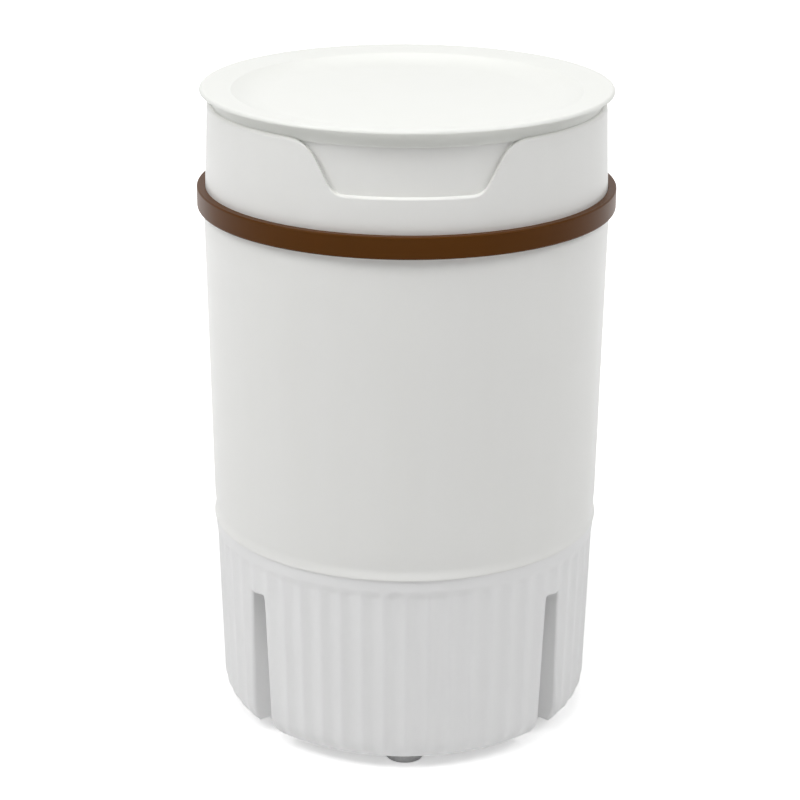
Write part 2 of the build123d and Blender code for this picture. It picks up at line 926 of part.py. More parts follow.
with BuildPart() as wash_tub:
    bead_bottom = collar_top
    bead_radius = tub_top_radius + tub_wall
    add(
        turned(
            (0, tub_underside),
            (tub_foot_radius - tub_wall, tub_underside),
            (tub_foot_radius - tub_wall, barrel_flange_top),
            (tub_foot_radius, barrel_flange_top),
            (bead_radius - tub_slope * (rim_top - bead_bottom), bead_bottom),
            (bead_radius + tub_bead_width, bead_bottom),
            (bead_radius + tub_bead_width, bead_bottom + tub_bead_height),
            (bead_radius, bead_bottom + tub_bead_height),
            (bead_radius, rim_top),
            (0, rim_top),
        )
    )
    add(tub_cavity.part, mode=Mode.SUBTRACT)
    add(ring(0, tub_hub_radius, gearbox_top, tub_underside))
    with Locations(*[(x, y, gearbox_top) for x, y in tub_ears]):
        Cylinder(tub_boss_radius, tub_hub_depth, align=(Align.CENTER, Align.CENTER, Align.MIN))
        Cylinder(
            screw_radius + screw_gap,
            gearbox_screw_length - gearbox_ear_height + screw_gap,
            align=(Align.CENTER, Align.CENTER, Align.MIN),
            mode=Mode.SUBTRACT,
        )
    with Locations((drain_x, drain_port_y, tub_floor_top)):
        Cylinder(
            spout_radius,
            tub_floor + hose_overlap + tub_foot_height,
            align=(Align.CENTER, Align.CENTER, Align.MAX),
        )
        Cylinder(
            spout_radius - spout_wall,
            tub_floor + hose_overlap + tub_foot_height,
            align=(Align.CENTER, Align.CENTER, Align.MAX),
            mode=Mode.SUBTRACT,
        )
    add(ring(0, seal_lip_radius, gearbox_top, tub_floor_top), mode=Mode.SUBTRACT)
    add(ring(0, seal_seat_radius, gearbox_top, seal_bottom - seal_lip), mode=Mode.SUBTRACT)
    add(ring(0, seal_seat_radius, seal_bottom, tub_floor_top), mode=Mode.SUBTRACT)

# Shaft seal in the tub's hub
with BuildPart() as shaft_seal:
    add(
        turned(
            (shaft_radius + running_gap, seal_bottom + seal_height / 2),
            (shaft_radius + seal_height / 3, seal_bottom),
            (seal_seat_radius - running_gap, seal_bottom),
            (seal_seat_radius - running_gap, seal_bottom + seal_height),
            (shaft_radius + seal_height / 3, seal_bottom + seal_height),
            (shaft_radius + running_gap, seal_bottom + seal_height * 2 / 3),
        )
    )

# Lid and its gasket
dish_floor_top = flange_top - dish_depth
dish_curve = (dish_run**2 + dish_depth**2) / (2 * dish_depth)
dish_centre = dish_floor_top + dish_curve
under_curve = dish_curve + dish_wall


def under_dish(height):
    """Radius of the dish's underside at a height."""
    return dish_floor_radius + sqrt(under_curve**2 - (dish_centre - height) ** 2)


with BuildPart() as lid:
    bend = acos((dish_centre - flange_bottom) / under_curve) / 2
    under_middle = (
        dish_floor_radius + under_curve * sin(bend),
        dish_centre - under_curve * cos(bend),
    )
    rise = acos((dish_centre - flange_top) / dish_curve) / 2
    dish_middle = (dish_floor_radius + dish_curve * sin(rise), dish_centre - dish_curve * cos(rise))
    rim_middle = flange_bottom + lid_flange / 2
    with BuildSketch(Plane.XZ):
        with BuildLine():
            Line((0, dish_floor_top), (0, dish_floor_top - dish_wall))
            Line((0, dish_floor_top - dish_wall), (dish_floor_radius, dish_floor_top - dish_wall))
            ThreePointArc(
                (dish_floor_radius, dish_floor_top - dish_wall),
                under_middle,
                (under_dish(flange_bottom), flange_bottom),
            )
            Polyline(
                (under_dish(flange_bottom), flange_bottom),
                (skirt_radius - skirt_wall, flange_bottom),
                (skirt_radius - skirt_wall, collar_top + loose_gap),
                (skirt_radius, collar_top + loose_gap),
                (skirt_radius, flange_bottom),
                (lid_radius - lid_flange / 2, flange_bottom),
            )
            ThreePointArc(
                (lid_radius - lid_flange / 2, flange_bottom),
                (lid_radius, rim_middle),
                (lid_radius - lid_flange / 2, flange_top),
            )
            Line((lid_radius - lid_flange / 2, flange_top), (dish_radius, flange_top))
            ThreePointArc((dish_radius, flange_top), dish_middle, (dish_floor_radius, dish_floor_top))
            Line((dish_floor_radius, dish_floor_top), (0, dish_floor_top))
        make_face()
    revolve(axis=Axis.Z)

with BuildPart() as lid_gasket:
    add(
        ring(
            tub_top_radius,
            skirt_radius - skirt_wall - loose_gap,
            flange_bottom - gasket_height,
            flange_bottom,
        )
    )

# Pulsator: a domed disc with curved blades, driven by the shaft's flat
pulsator_bottom = tub_floor_top + pulsator_edge_gap
pulsator_top = pulsator_bottom + pulsator_rise
dome_sag = pulsator_rise - pulsator_edge
dome_curve = (pulsator_radius**2 + dome_sag**2) / (2 * dome_sag)


def dome(growth, radius, bottom):
    """A disc with a domed top, its dome growth above the pulsator's own."""
    edge = pulsator_bottom + pulsator_edge + growth
    top = pulsator_top + growth
    middle_radius = pulsator_radius / 2
    middle_top = top - dome_curve + sqrt(dome_curve**2 - middle_radius**2)
    with BuildPart() as solid:
        with BuildSketch(Plane.XZ):
            with BuildLine():
                Polyline((0, top), (0, bottom), (pulsator_radius, bottom), (pulsator_radius, edge))
                ThreePointArc((pulsator_radius, edge), (middle_radius, middle_top), (0, top))
            make_face()
        revolve(axis=Axis.Z)
        if radius < pulsator_radius:
            add(ring(radius, pulsator_radius + overrun, bottom - overrun, top), mode=Mode.SUBTRACT)
    return solid.part


blade_start = blade_start_share * pulsator_radius
blade_end = blade_end_share * pulsator_radius
blade_bow = blade_bow_share * pulsator_radius

with BuildPart() as blades:
    with BuildSketch(Plane.XY.offset(pulsator_bottom)):
        with PolarLocations(0, blade_count):
            with BuildLine():
                spine = ThreePointArc(
                    (blade_start, 0), ((blade_start + blade_end) / 2, blade_bow), (blade_end, 0)
                )
            SlotArc(spine, blade_width)
    extrude(amount=pulsator_rise + blade_height)
    add(dome(blade_height, pulsator_radius, pulsator_bottom), mode=Mode.INTERSECT)
    add(dome(-pulsator_wall / 2, pulsator_radius, pulsator_bottom), mode=Mode.SUBTRACT)

with BuildPart() as pulsator:
    add(dome(0, pulsator_radius, pulsator_bottom))
    add(
        dome(-pulsator_wall, pulsator_radius - pulsator_wall, pulsator_bottom - overrun), mode=Mode.SUBTRACT
    )
    add(blades.part)
    add(ring(0, pulsator_hub_radius, tub_floor_top + pulsator_edge_gap / 2, pulsator_top - pulsator_wall / 2))
    with BuildSketch(Plane.XY.offset(tub_floor_top)):
        add(flat_sided(shaft_radius + running_gap, shaft_flat + running_gap))
    extrude(amount=shaft_top + screw_gap - tub_floor_top, mode=Mode.SUBTRACT)
    add(
        ring(0, pulsator_screw_head + loose_gap, shaft_top + pulsator_wall / 2, pulsator_top + overrun),
        mode=Mode.SUBTRACT,
    )
    add(ring(0, pulsator_screw_radius + screw_gap, shaft_top, pulsator_top), mode=Mode.SUBTRACT)
    with BuildSketch(Plane.XY.offset(pulsator_bottom)):
        with PolarLocations(drain_hole_share * pulsator_radius, blade_count * 2, 90 / blade_count):
            Circle(drain_hole_radius)
    extrude(amount=pulsator_rise, mode=Mode.SUBTRACT)

pulsator_screw_length = pulsator_rise
with BuildPart() as pulsator_screw:
    with Locations(Location((0, 0, shaft_top + pulsator_wall / 2), (180, 0, 0))):
        add(
            screw(
                pulsator_screw_length,
                pulsator_screw_radius,
                pulsator_screw_head - loose_gap,
                pulsator_wall / 2,
            )
        )

with BuildPart() as pulsator_cap:
    cap_curve = (pulsator_cap_radius**2 + pulsator_cap_height**2) / (2 * pulsator_cap_height)
    cap_middle = pulsator_cap_radius / 2
    cap_base = pulsator_top + screw_gap
    cap_top = cap_base + pulsator_cap_height
    with BuildSketch(Plane.XZ):
        with BuildLine():
            Polyline((0, cap_top), (0, cap_base), (pulsator_cap_radius, cap_base))
            ThreePointArc(
                (pulsator_cap_radius, cap_base),
                (cap_middle, cap_top - cap_curve + sqrt(cap_curve**2 - cap_middle**2)),
                (0, cap_top),
            )
        make_face()
    revolve(axis=Axis.Z)

# Drive shaft, its bushes and the clip below the lower bush
lower_bush_bottom = gearbox_bottom - gearbox_plate
clip_top = lower_bush_bottom - screw_gap
shaft_bottom = clip_top - shaft_tail
shaft_flat_bottom = tub_floor_top

with BuildPart() as drive_shaft:
    add(ring(0, shaft_radius, shaft_bottom, shaft_flat_bottom))
    with BuildSketch(Plane.XY.offset(shaft_flat_bottom)):
        add(flat_sided(shaft_radius, shaft_flat))
    extrude(amount=shaft_top - shaft_flat_bottom)
    with BuildSketch(Plane.XY.offset(output_gear_bottom)):
        Circle(shaft_radius)
        add(flat_sided(shaft_radius, shaft_flat), mode=Mode.SUBTRACT)
    extrude(amount=stage_two_width + gear_hub_rise, mode=Mode.SUBTRACT)
    add(
        ring(
            shaft_radius - clip_groove_depth,
            shaft_radius + overrun,
            clip_top - clip_thickness - screw_gap,
            clip_top,
        ),
        mode=Mode.SUBTRACT,
    )
    add(
        ring(0, pulsator_screw_radius + running_gap, shaft_top - pulsator_screw_length, shaft_top),
        mode=Mode.SUBTRACT,
    )

with BuildPart() as shaft_clip:
    with BuildSketch(Plane.XY.offset(clip_top - clip_thickness)):
        Circle(clip_radius)
        Circle(shaft_radius - clip_groove_depth + running_gap, mode=Mode.SUBTRACT)
        with Locations((clip_radius, 0)):
            Rectangle(2 * clip_radius, shaft_radius, mode=Mode.SUBTRACT)
    extrude(amount=clip_thickness)

bush_radius = shaft_radius + bush_wall
cover_spigot_top = seal_bottom - seal_lip - loose_gap

with BuildPart() as upper_bush:
    add(ring(shaft_radius + running_gap, bush_radius, gear_ceiling, cover_spigot_top))
    add(
        ring(
            shaft_radius + running_gap,
            bush_radius + bush_flange_width,
            gear_ceiling - bush_flange,
            gear_ceiling,
        )
    )

with BuildPart() as lower_bush:
    add(ring(shaft_radius + running_gap, bush_radius, lower_bush_bottom, gear_floor))
    add(
        ring(
            shaft_radius + running_gap,
            bush_radius + bush_flange_width / 2,
            gear_floor,
            gear_floor + bush_flange,
        )
    )

# Gears: the motor's pinion drives the compound gear, which drives the output gear
idler_to_output = idler_angle + 180
motor_to_idler = degrees(atan2(idler_y - motor_y, idler_x - motor_x))
half_large_tooth = 180 / large_teeth

with BuildPart() as output_gear:
    with Locations((0, 0, output_gear_bottom)):
        add(gear_blank(large_teeth, stage_two_width, idler_angle + half_large_tooth))
        Cylinder(
            gear_hub_radius,
            stage_two_width + gear_hub_rise,
            align=(Align.CENTER, Align.CENTER, Align.MIN),
        )
    with BuildSketch(Plane.XY.offset(output_gear_bottom)):
        add(flat_sided(shaft_radius + running_gap, shaft_flat + running_gap))
    extrude(amount=stage_two_width + gear_hub_rise, mode=Mode.SUBTRACT)

compound_top = output_gear_top + gear_hub_rise / 2

with BuildPart() as compound_gear:
    with Locations((idler_x, idler_y, stage_one_bottom)):
        add(gear_blank(large_teeth, stage_one_width, motor_to_idler + 180 + half_large_tooth))
    with Locations((idler_x, idler_y, stage_one_top)):
        add(gear_blank(small_teeth, compound_top - stage_one_top, idler_to_output))
    with Locations((idler_x, idler_y, stage_one_bottom)):
        Cylinder(
            idler_pin_radius + running_gap,
            compound_top - stage_one_bottom,
            align=(Align.CENTER, Align.CENTER, Align.MIN),
            mode=Mode.SUBTRACT,
        )

pin_seat = gearbox_plate * 2 / 3
with BuildPart() as idler_pin:
    with Locations((idler_x, idler_y, gear_floor - pin_seat)):
        Cylinder(
            idler_pin_radius,
            gear_ceiling - gear_floor + 2 * pin_seat,
            align=(Align.CENTER, Align.CENTER, Align.MIN),
        )

with BuildPart() as motor_pinion:
    with Locations((motor_x, motor_y, stage_one_bottom)):
        add(gear_blank(small_teeth, stage_one_width, motor_to_idler))
        Cylinder(
            motor_shaft_radius + running_gap,
            stage_one_width,
            align=(Align.CENTER, Align.CENTER, Align.MIN),
            mode=Mode.SUBTRACT,
        )

# Gearbox halves
with BuildPart() as gearbox_case:
    with BuildSketch(Plane.XY.offset(gearbox_bottom)):
        add(gearbox_outline(gearbox_clearance + gearbox_wall))
    extrude(amount=gearbox_split - gearbox_bottom)
    with Locations(*[(x, y, gearbox_split) for x, y in case_ears]):
        Cylinder(gearbox_ear_radius, gearbox_ear_height, align=(Align.CENTER, Align.CENTER, Align.MAX))
    with BuildSketch(Plane.XY.offset(gear_floor)):
        add(gearbox_outline(gearbox_clearance))
    extrude(amount=gearbox_split - gear_floor, mode=Mode.SUBTRACT)
    with Locations(*[(x, y, gearbox_split) for x, y in case_ears]):
        Cylinder(
            screw_radius + screw_gap,
            gearbox_ear_height,
            align=(Align.CENTER, Align.CENTER, Align.MAX),
            mode=Mode.SUBTRACT,
        )
    with Locations((idler_x, idler_y, gear_floor)):
        Cylinder(idler_boss_radius, idler_boss_rise, align=(Align.CENTER, Align.CENTER, Align.MIN))
        Cylinder(
            idler_pin_radius + running_gap,
            idler_boss_rise,
            align=(Align.CENTER, Align.CENTER, Align.MIN),
            mode=Mode.SUBTRACT,
        )
        Cylinder(
            idler_pin_radius + running_gap,
            pin_seat,
            align=(Align.CENTER, Align.CENTER, Align.MAX),
            mode=Mode.SUBTRACT,
        )
    add(ring(0, bush_radius + shell_wall, lower_bush_bottom, gearbox_bottom))
    add(ring(0, bush_radius + running_gap, lower_bush_bottom, gear_floor), mode=Mode.SUBTRACT)
    with Locations((motor_x, motor_y, gearbox_bottom)):
        Cylinder(
            motor_boss_radius + screw_gap,
            gearbox_plate,
            align=(Align.CENTER, Align.CENTER, Align.MIN),
            mode=Mode.SUBTRACT,
        )
        with PolarLocations(motor_screw_spread, 2, motor_to_idler + 90):
            Cylinder(
                screw_radius + screw_gap,
                gearbox_plate,
                align=(Align.CENTER, Align.CENTER, Align.MIN),
                mode=Mode.SUBTRACT,
            )

case_boss_height = gearbox_ear_height * 1.5
with BuildPart() as gearbox_cover:
    with BuildSketch(Plane.XY.offset(gearbox_split)):
        add(gearbox_outline(gearbox_clearance + gearbox_wall))
    extrude(amount=gearbox_top - gearbox_split)
    with Locations(*[(x, y, gearbox_split) for x, y in case_ears]):
        Cylinder(gearbox_ear_radius, case_boss_height, align=(Align.CENTER, Align.CENTER, Align.MIN))
    with Locations(*[(x, y, gearbox_top) for x, y in tub_ears]):
        Cylinder(gearbox_ear_radius, gearbox_ear_height, align=(Align.CENTER, Align.CENTER, Align.MAX))
    with BuildSketch(Plane.XY.offset(gearbox_split)):
        add(gearbox_outline(gearbox_clearance))
    extrude(amount=gear_ceiling - gearbox_split, mode=Mode.SUBTRACT)
    with Locations(*[(x, y, gearbox_split) for x, y in case_ears]):
        Cylinder(
            screw_radius + screw_gap,
            case_screw_length - gearbox_ear_height + screw_gap,
            align=(Align.CENTER, Align.CENTER, Align.MIN),
            mode=Mode.SUBTRACT,
        )
    with Locations(*[(x, y, gearbox_top) for x, y in tub_ears]):
        Cylinder(
            screw_radius + screw_gap,
            gearbox_ear_height,
            align=(Align.CENTER, Align.CENTER, Align.MAX),
            mode=Mode.SUBTRACT,
        )
    with Locations((idler_x, idler_y, gear_ceiling)):
        Cylinder(
            idler_boss_radius,
            gear_ceiling - compound_top - loose_gap,
            align=(Align.CENTER, Align.CENTER, Align.MAX),
        )
        Cylinder(
            idler_pin_radius + running_gap,
            gear_ceiling - compound_top,
            align=(Align.CENTER, Align.CENTER, Align.MAX),
            mode=Mode.SUBTRACT,
        )
        Cylinder(
            idler_pin_radius + running_gap,
            pin_seat,
            align=(Align.CENTER, Align.CENTER, Align.MIN),
            mode=Mode.SUBTRACT,
        )
    add(ring(0, seal_seat_radius - loose_gap, gearbox_top, cover_spigot_top))
    add(ring(0, bush_radius + running_gap, gear_ceiling, cover_spigot_top), mode=Mode.SUBTRACT)

with BuildPart() as case_screws:
    with Locations(*[(x, y, gearbox_split - gearbox_ear_height) for x, y in case_ears]):
        add(screw(case_screw_length))

with BuildPart() as gearbox_screws:
    with Locations(*[(x, y, gearbox_top - gearbox_ear_height) for x, y in tub_ears]):
        add(screw(gearbox_screw_length))

# Motor: a drawn can with two magnets, a slotted armature on the shaft, and an end cap
with BuildPart() as motor_can:
    can_inner = motor_radius - motor_wall
    with Locations((motor_x, motor_y, 0)):
        add(ring(0, motor_radius, motor_bottom, gearbox_bottom))
        add(ring(0, can_inner, motor_bottom, gearbox_bottom - motor_face), mode=Mode.SUBTRACT)
        add(ring(0, motor_boss_radius, gearbox_bottom, gearbox_bottom + gearbox_plate - loose_gap))
        add(
            ring(0, motor_shaft_radius + running_gap, motor_bottom, gearbox_bottom + gearbox_plate),
            mode=Mode.SUBTRACT,
        )
    with Locations((motor_x, motor_y, gearbox_bottom)):
        with PolarLocations(motor_screw_spread, 2, motor_to_idler + 90):
            Cylinder(
                screw_radius + screw_gap,
                motor_face,
                align=(Align.CENTER, Align.CENTER, Align.MAX),
                mode=Mode.SUBTRACT,
            )

armature_bottom = motor_bottom + armature_inset
armature_top = gearbox_bottom - motor_face - armature_inset

with BuildPart() as motor_magnets:
    with BuildSketch(Plane.XY.offset(armature_bottom)):
        with Locations((motor_x, motor_y)):
            Circle(can_inner - screw_gap)
            Circle(can_inner - magnet_thickness, mode=Mode.SUBTRACT)
            gap_width = 2 * can_inner * cos(radians(magnet_arc / 2))
            Rectangle(gap_width, 2 * motor_radius, mode=Mode.SUBTRACT)
    extrude(amount=armature_top - armature_bottom)

with BuildPart() as armature:
    with BuildSketch(Plane.XY.offset(armature_bottom)):
        with Locations((motor_x, motor_y)):
            Circle(armature_radius)
            Circle(motor_shaft_radius + running_gap, mode=Mode.SUBTRACT)
            with PolarLocations(armature_radius, armature_poles, 90):
                Rectangle(2 * armature_slot_depth, armature_slot_width, mode=Mode.SUBTRACT)
    extrude(amount=armature_top - armature_bottom)

with BuildPart() as motor_shaft:
    with Locations((motor_x, motor_y, motor_bottom - motor_cap_height + motor_wall)):
        Cylinder(
            motor_shaft_radius,
            stage_one_top + loose_gap - motor_bottom + motor_cap_height - motor_wall,
            align=(Align.CENTER, Align.CENTER, Align.MIN),
        )

with BuildPart() as motor_end_cap:
    with Locations((motor_x, motor_y, 0)):
        add(ring(0, motor_radius - screw_gap, motor_bottom - motor_cap_height, motor_bottom))
        add(
            ring(
                0,
                motor_shaft_radius + running_gap,
                motor_bottom - motor_cap_height + motor_wall - screw_gap,
                motor_bottom,
            ),
            mode=Mode.SUBTRACT,
        )
    fillet(motor_end_cap.faces().sort_by(Axis.Z)[0].edges(), motor_wall)

with BuildPart() as motor_screws:
    with Locations(Location((motor_x, motor_y, gear_floor), (180, 0, 0))):
        with PolarLocations(motor_screw_spread, 2, -(motor_to_idler + 90)):
            add(screw(motor_screw_length))

# Drain: a hose from the tub's port to a spout in the service pocket
port_bottom = tub_floor_top - tub_floor - hose_overlap - tub_foot_height
hose_inner = spout_radius + running_gap
hose_outer = hose_inner + hose_wall
hose_end_y = pocket_y - shell_wall - nut_height - loose_gap
hose_points = (
    (drain_x, drain_port_y, port_bottom + hose_overlap - loose_gap),
    (drain_x, drain_port_y, drain_z),
    (drain_x, hose_end_y, drain_z),
)

with BuildPart() as drain_hose:
    with BuildLine() as hose_route:
        FilletPolyline(*hose_points, radius=hose_bend_radius)
    with BuildSketch(Plane(hose_points[0], z_dir=(0, 0, -1))):
        Circle(hose_outer)
        Circle(hose_inner, mode=Mode.SUBTRACT)
    sweep(path=hose_route.line)

band_inset = clip_band_width
with BuildPart() as hose_clips:
    with Locations(
        Location((drain_x, drain_port_y, port_bottom + band_inset), (0, 0, 0)),
        Location((drain_x, hose_end_y - band_inset, drain_z), (90, 0, 0)),
    ):
        Cylinder(hose_outer + running_gap + clip_band, clip_band_width)
        Cylinder(hose_outer + running_gap, clip_band_width, mode=Mode.SUBTRACT)

spout_plane = Plane((drain_x, pocket_y, drain_z), x_dir=(-1, 0, 0), z_dir=(0, 1, 0))
spout_end = spout_flange + spout_length

with BuildPart() as drain_spout:
    with BuildSketch(spout_plane.offset(-spout_tail)):
        Circle(spout_radius)
    extrude(amount=spout_tail + spout_end)
    with BuildSketch(spout_plane):
        Circle(spout_flange_radius)
    extrude(amount=spout_flange)
    with BuildSketch(spout_plane.offset(-spout_tail)):
        Circle(spout_radius - spout_wall)
    extrude(amount=spout_tail + spout_end, mode=Mode.SUBTRACT)

with BuildPart() as spout_nut:
    with BuildSketch(spout_plane.offset(-shell_wall)):
        RegularPolygon(spout_nut_radius, 6)
        Circle(spout_radius + running_gap, mode=Mode.SUBTRACT)
    extrude(amount=-nut_height)

with BuildPart() as drain_stopper:
    with BuildSketch(spout_plane.offset(spout_end - stopper_length)):
        Circle(spout_radius - spout_wall - loose_gap)
    extrude(amount=stopper_length + loose_gap)
    with BuildSketch(spout_plane.offset(spout_end + loose_gap)):
        Circle(stopper_head_radius)
    extrude(amount=stopper_head / 2)
    with BuildSketch(spout_plane.offset(spout_end + loose_gap + stopper_head / 2)):
        SlotOverall(2 * stopper_head_radius - stopper_head / 2, stopper_head / 2)
    extrude(amount=stopper_head / 2)

# Power inlet, button and lens in the service pocket
inlet_plane = Plane((inlet_x, pocket_y, inlet_z), x_dir=(-1, 0, 0), z_dir=(0, 1, 0))

with BuildPart() as power_inlet:
    with BuildSketch(inlet_plane.offset(inlet_flange)):
        Circle(inlet_radius)
    extrude(amount=-(inlet_flange + shell_wall + board_standoff))
    with BuildSketch(inlet_plane):
        Circle(inlet_flange_radius)
    extrude(amount=inlet_flange)
    with BuildSketch(inlet_plane.offset(inlet_flange)):
        Circle(inlet_bore_radius)
        Circle(inlet_pin_radius, mode=Mode.SUBTRACT)
    extrude(amount=-inlet_bore_depth, mode=Mode.SUBTRACT)

with BuildPart() as inlet_nut:
    with BuildSketch(inlet_plane.offset(-shell_wall)):
        RegularPolygon(nut_radius, 6)
        Circle(inlet_radius + running_gap, mode=Mode.SUBTRACT)
    extrude(amount=-nut_height)

button_plane = Plane((button_x, pocket_y, button_z), x_dir=(-1, 0, 0), z_dir=(0, 1, 0))
switch_face = board_standoff - switch_height
button_stem = switch_face - button_travel - loose_gap

with BuildPart() as power_button:
    with BuildSketch(button_plane.offset(-shell_wall - loose_gap)):
        Circle(button_flange_radius)
    extrude(amount=-button_flange)
    with BuildSketch(button_plane.offset(-shell_wall - loose_gap)):
        Circle(button_radius)
    extrude(amount=shell_wall + loose_gap + button_proud)
    fillet(power_button.faces().sort_by(Axis.Y)[-1].edges(), button_proud / 3)
    with BuildSketch(button_plane.offset(-shell_wall - loose_gap)):
        Circle(button_stem_radius)
    extrude(amount=-(button_stem - loose_gap))

with BuildPart() as indicator_lens:
    with BuildSketch(Plane((lens_x, pocket_y, lens_z), x_dir=(-1, 0, 0), z_dir=(0, 1, 0))):
        Circle(lens_radius)
    extrude(amount=-(shell_wall + board_standoff))
    with BuildSketch(Plane((lens_x, pocket_y, lens_z), x_dir=(-1, 0, 0), z_dir=(0, 1, 0))):
        Circle(lens_radius * 1.5)
    extrude(amount=lens_radius / 3)

# Control board with its switch, plug and screws
board_face = Plane((board_x, board_y, board_z), x_dir=(-1, 0, 0), z_dir=(0, -1, 0))

with BuildPart() as control_board:
    with BuildSketch(board_face):
        Rectangle(board_width, board_height)
        with GridLocations(post_spread_x, post_spread_z, 2, 2):
            Circle(screw_radius + screw_gap, mode=Mode.SUBTRACT)
    extrude(amount=board_thickness)

with BuildPart() as board_screws:
    with Locations(Location(board_face.offset(board_thickness).location.position, (-90, 0, 0))):
        with GridLocations(post_spread_x, post_spread_z, 2, 2):
            add(screw(board_screw_length))

with BuildPart() as tact_switch:
    with BuildSketch(Plane((button_x, board_y, button_z), x_dir=(-1, 0, 0), z_dir=(0, 1, 0))):
        RectangleRounded(switch_size, switch_size, switch_size / 12)
    extrude(amount=switch_height)

plug_x = board_x - board_width / 5
plug_z = board_z - board_height / 8
plug_plane = Plane((plug_x, board_y - board_thickness, plug_z), x_dir=(-1, 0, 0), z_dir=(0, -1, 0))
with BuildPart() as board_plug:
    with BuildSketch(plug_plane):
        Rectangle(plug_length, plug_height)
    extrude(amount=plug_depth)

# Motor lead, from the board's plug to the motor's end cap
lead_start = (plug_x, board_y - board_thickness - plug_depth, plug_z)
lead_end = (motor_x - motor_radius / 3, motor_y, motor_bottom - motor_cap_height)
lead_low = lead_end[2] - 2 * motor_cap_height
lead_points = (
    lead_start,
    (plug_x, lead_start[1] - 2 * plug_length, plug_z),
    (plug_x, motor_y + 2 * motor_radius, lead_low),
    (lead_end[0], motor_y, lead_low),
    lead_end,
)


def run_length(low, high):
    """Distance between two points of the lead."""
    return hypot(*(b - a for a, b in zip(low, high)))


def bend_radius(before, corner, after):
    """The largest arc that the two runs of a corner leave room for."""
    turn = (Vector(corner) - Vector(before)).get_angle(Vector(after) - Vector(corner))
    shorter = min(run_length(before, corner), run_length(corner, after))
    return 0.45 * shorter / tan(radians(turn) / 2)


lead_bends = [bend_radius(*lead_points[i : i + 3]) for i in range(len(lead_points) - 2)]

with BuildPart() as motor_lead:
    with BuildLine() as lead_route:
        FilletPolyline(*lead_points, radius=lead_bends)
    with BuildSketch(Plane(lead_start, z_dir=(0, -1, 0))):
        Circle(lead_radius)
    sweep(path=lead_route.line)

pieces = {
    "base_skirt": base_skirt,
    "access_cover": access_cover,
    "cover_screws": cover_screws,
    "foot_front": foot_front,
    "foot_right": foot_right,
    "foot_rear": foot_rear,
    "foot_left": foot_left,
    "foot_screws": foot_screws,
    "barrel": barrel,
    "shell_screws": shell_screws,
    "trim_ring": trim_ring,
    "collar": collar,
    "wash_tub": wash_tub,
    "shaft_seal": shaft_seal,
    "lid": lid,
    "lid_gasket": lid_gasket,
    "pulsator": pulsator,
    "pulsator_screw": pulsator_screw,
    "pulsator_cap": pulsator_cap,
    "drive_shaft": drive_shaft,
    "shaft_clip": shaft_clip,
    "upper_bush": upper_bush,
    "lower_bush": lower_bush,
    "output_gear": output_gear,
    "compound_gear": compound_gear,
    "idler_pin": idler_pin,
    "motor_pinion": motor_pinion,
    "gearbox_case": gearbox_case,
    "gearbox_cover": gearbox_cover,
    "case_screws": case_screws,
    "gearbox_screws": gearbox_screws,
    "motor_can": motor_can,
    "motor_magnets": motor_magnets,
    "armature": armature,
    "motor_shaft": motor_shaft,
    "motor_end_cap": motor_end_cap,
    "motor_screws": motor_screws,
    "drain_hose": drain_hose,
    "hose_clips": hose_clips,
    "drain_spout": drain_spout,
    "spout_nut": spout_nut,
    "drain_stopper": drain_stopper,
    "power_inlet": power_inlet,
    "inlet_nut": inlet_nut,
    "power_button": power_button,
    "indicator_lens": indicator_lens,
    "control_board": control_board,
    "board_screws": board_screws,
    "tact_switch": tact_switch,
    "board_plug": board_plug,
    "motor_lead": motor_lead,
}

os.makedirs("parts", exist_ok=True)
for name, piece in pieces.items():
    piece.part.label = name
    export_step(piece.part, f"parts/{name}.step")
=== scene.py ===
import json
from collections import namedtuple
from math import acos, asin, atan2, ceil, cos, floor, hypot, pi, radians, sin, sqrt, tan

import bmesh
import bpy
from mathutils import Matrix, Vector
from mathutils.geometry import delaunay_2d_cdt

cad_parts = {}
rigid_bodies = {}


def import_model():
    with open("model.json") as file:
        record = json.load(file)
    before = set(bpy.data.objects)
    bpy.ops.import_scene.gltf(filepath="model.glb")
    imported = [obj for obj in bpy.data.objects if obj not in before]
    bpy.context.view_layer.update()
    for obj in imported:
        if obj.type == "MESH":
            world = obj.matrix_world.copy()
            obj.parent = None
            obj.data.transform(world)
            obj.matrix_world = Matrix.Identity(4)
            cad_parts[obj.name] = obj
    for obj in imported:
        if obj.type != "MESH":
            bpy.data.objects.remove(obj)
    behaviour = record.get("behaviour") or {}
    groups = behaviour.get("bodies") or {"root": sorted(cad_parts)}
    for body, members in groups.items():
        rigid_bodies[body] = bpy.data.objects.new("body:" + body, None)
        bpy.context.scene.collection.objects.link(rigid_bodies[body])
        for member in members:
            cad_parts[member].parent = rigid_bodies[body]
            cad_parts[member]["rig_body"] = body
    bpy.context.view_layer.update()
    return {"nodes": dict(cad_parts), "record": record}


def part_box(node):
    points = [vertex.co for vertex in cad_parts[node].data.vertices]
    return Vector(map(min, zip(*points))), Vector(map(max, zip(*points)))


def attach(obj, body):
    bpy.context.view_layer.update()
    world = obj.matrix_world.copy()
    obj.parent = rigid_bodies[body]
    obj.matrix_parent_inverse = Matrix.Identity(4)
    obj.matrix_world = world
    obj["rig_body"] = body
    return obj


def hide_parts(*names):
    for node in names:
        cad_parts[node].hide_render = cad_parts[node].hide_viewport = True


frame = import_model()
nodes = frame["nodes"]
slots = {part["node"]: part["material_slot"] for part in frame["record"]["subparts"]}
mm = 0.001

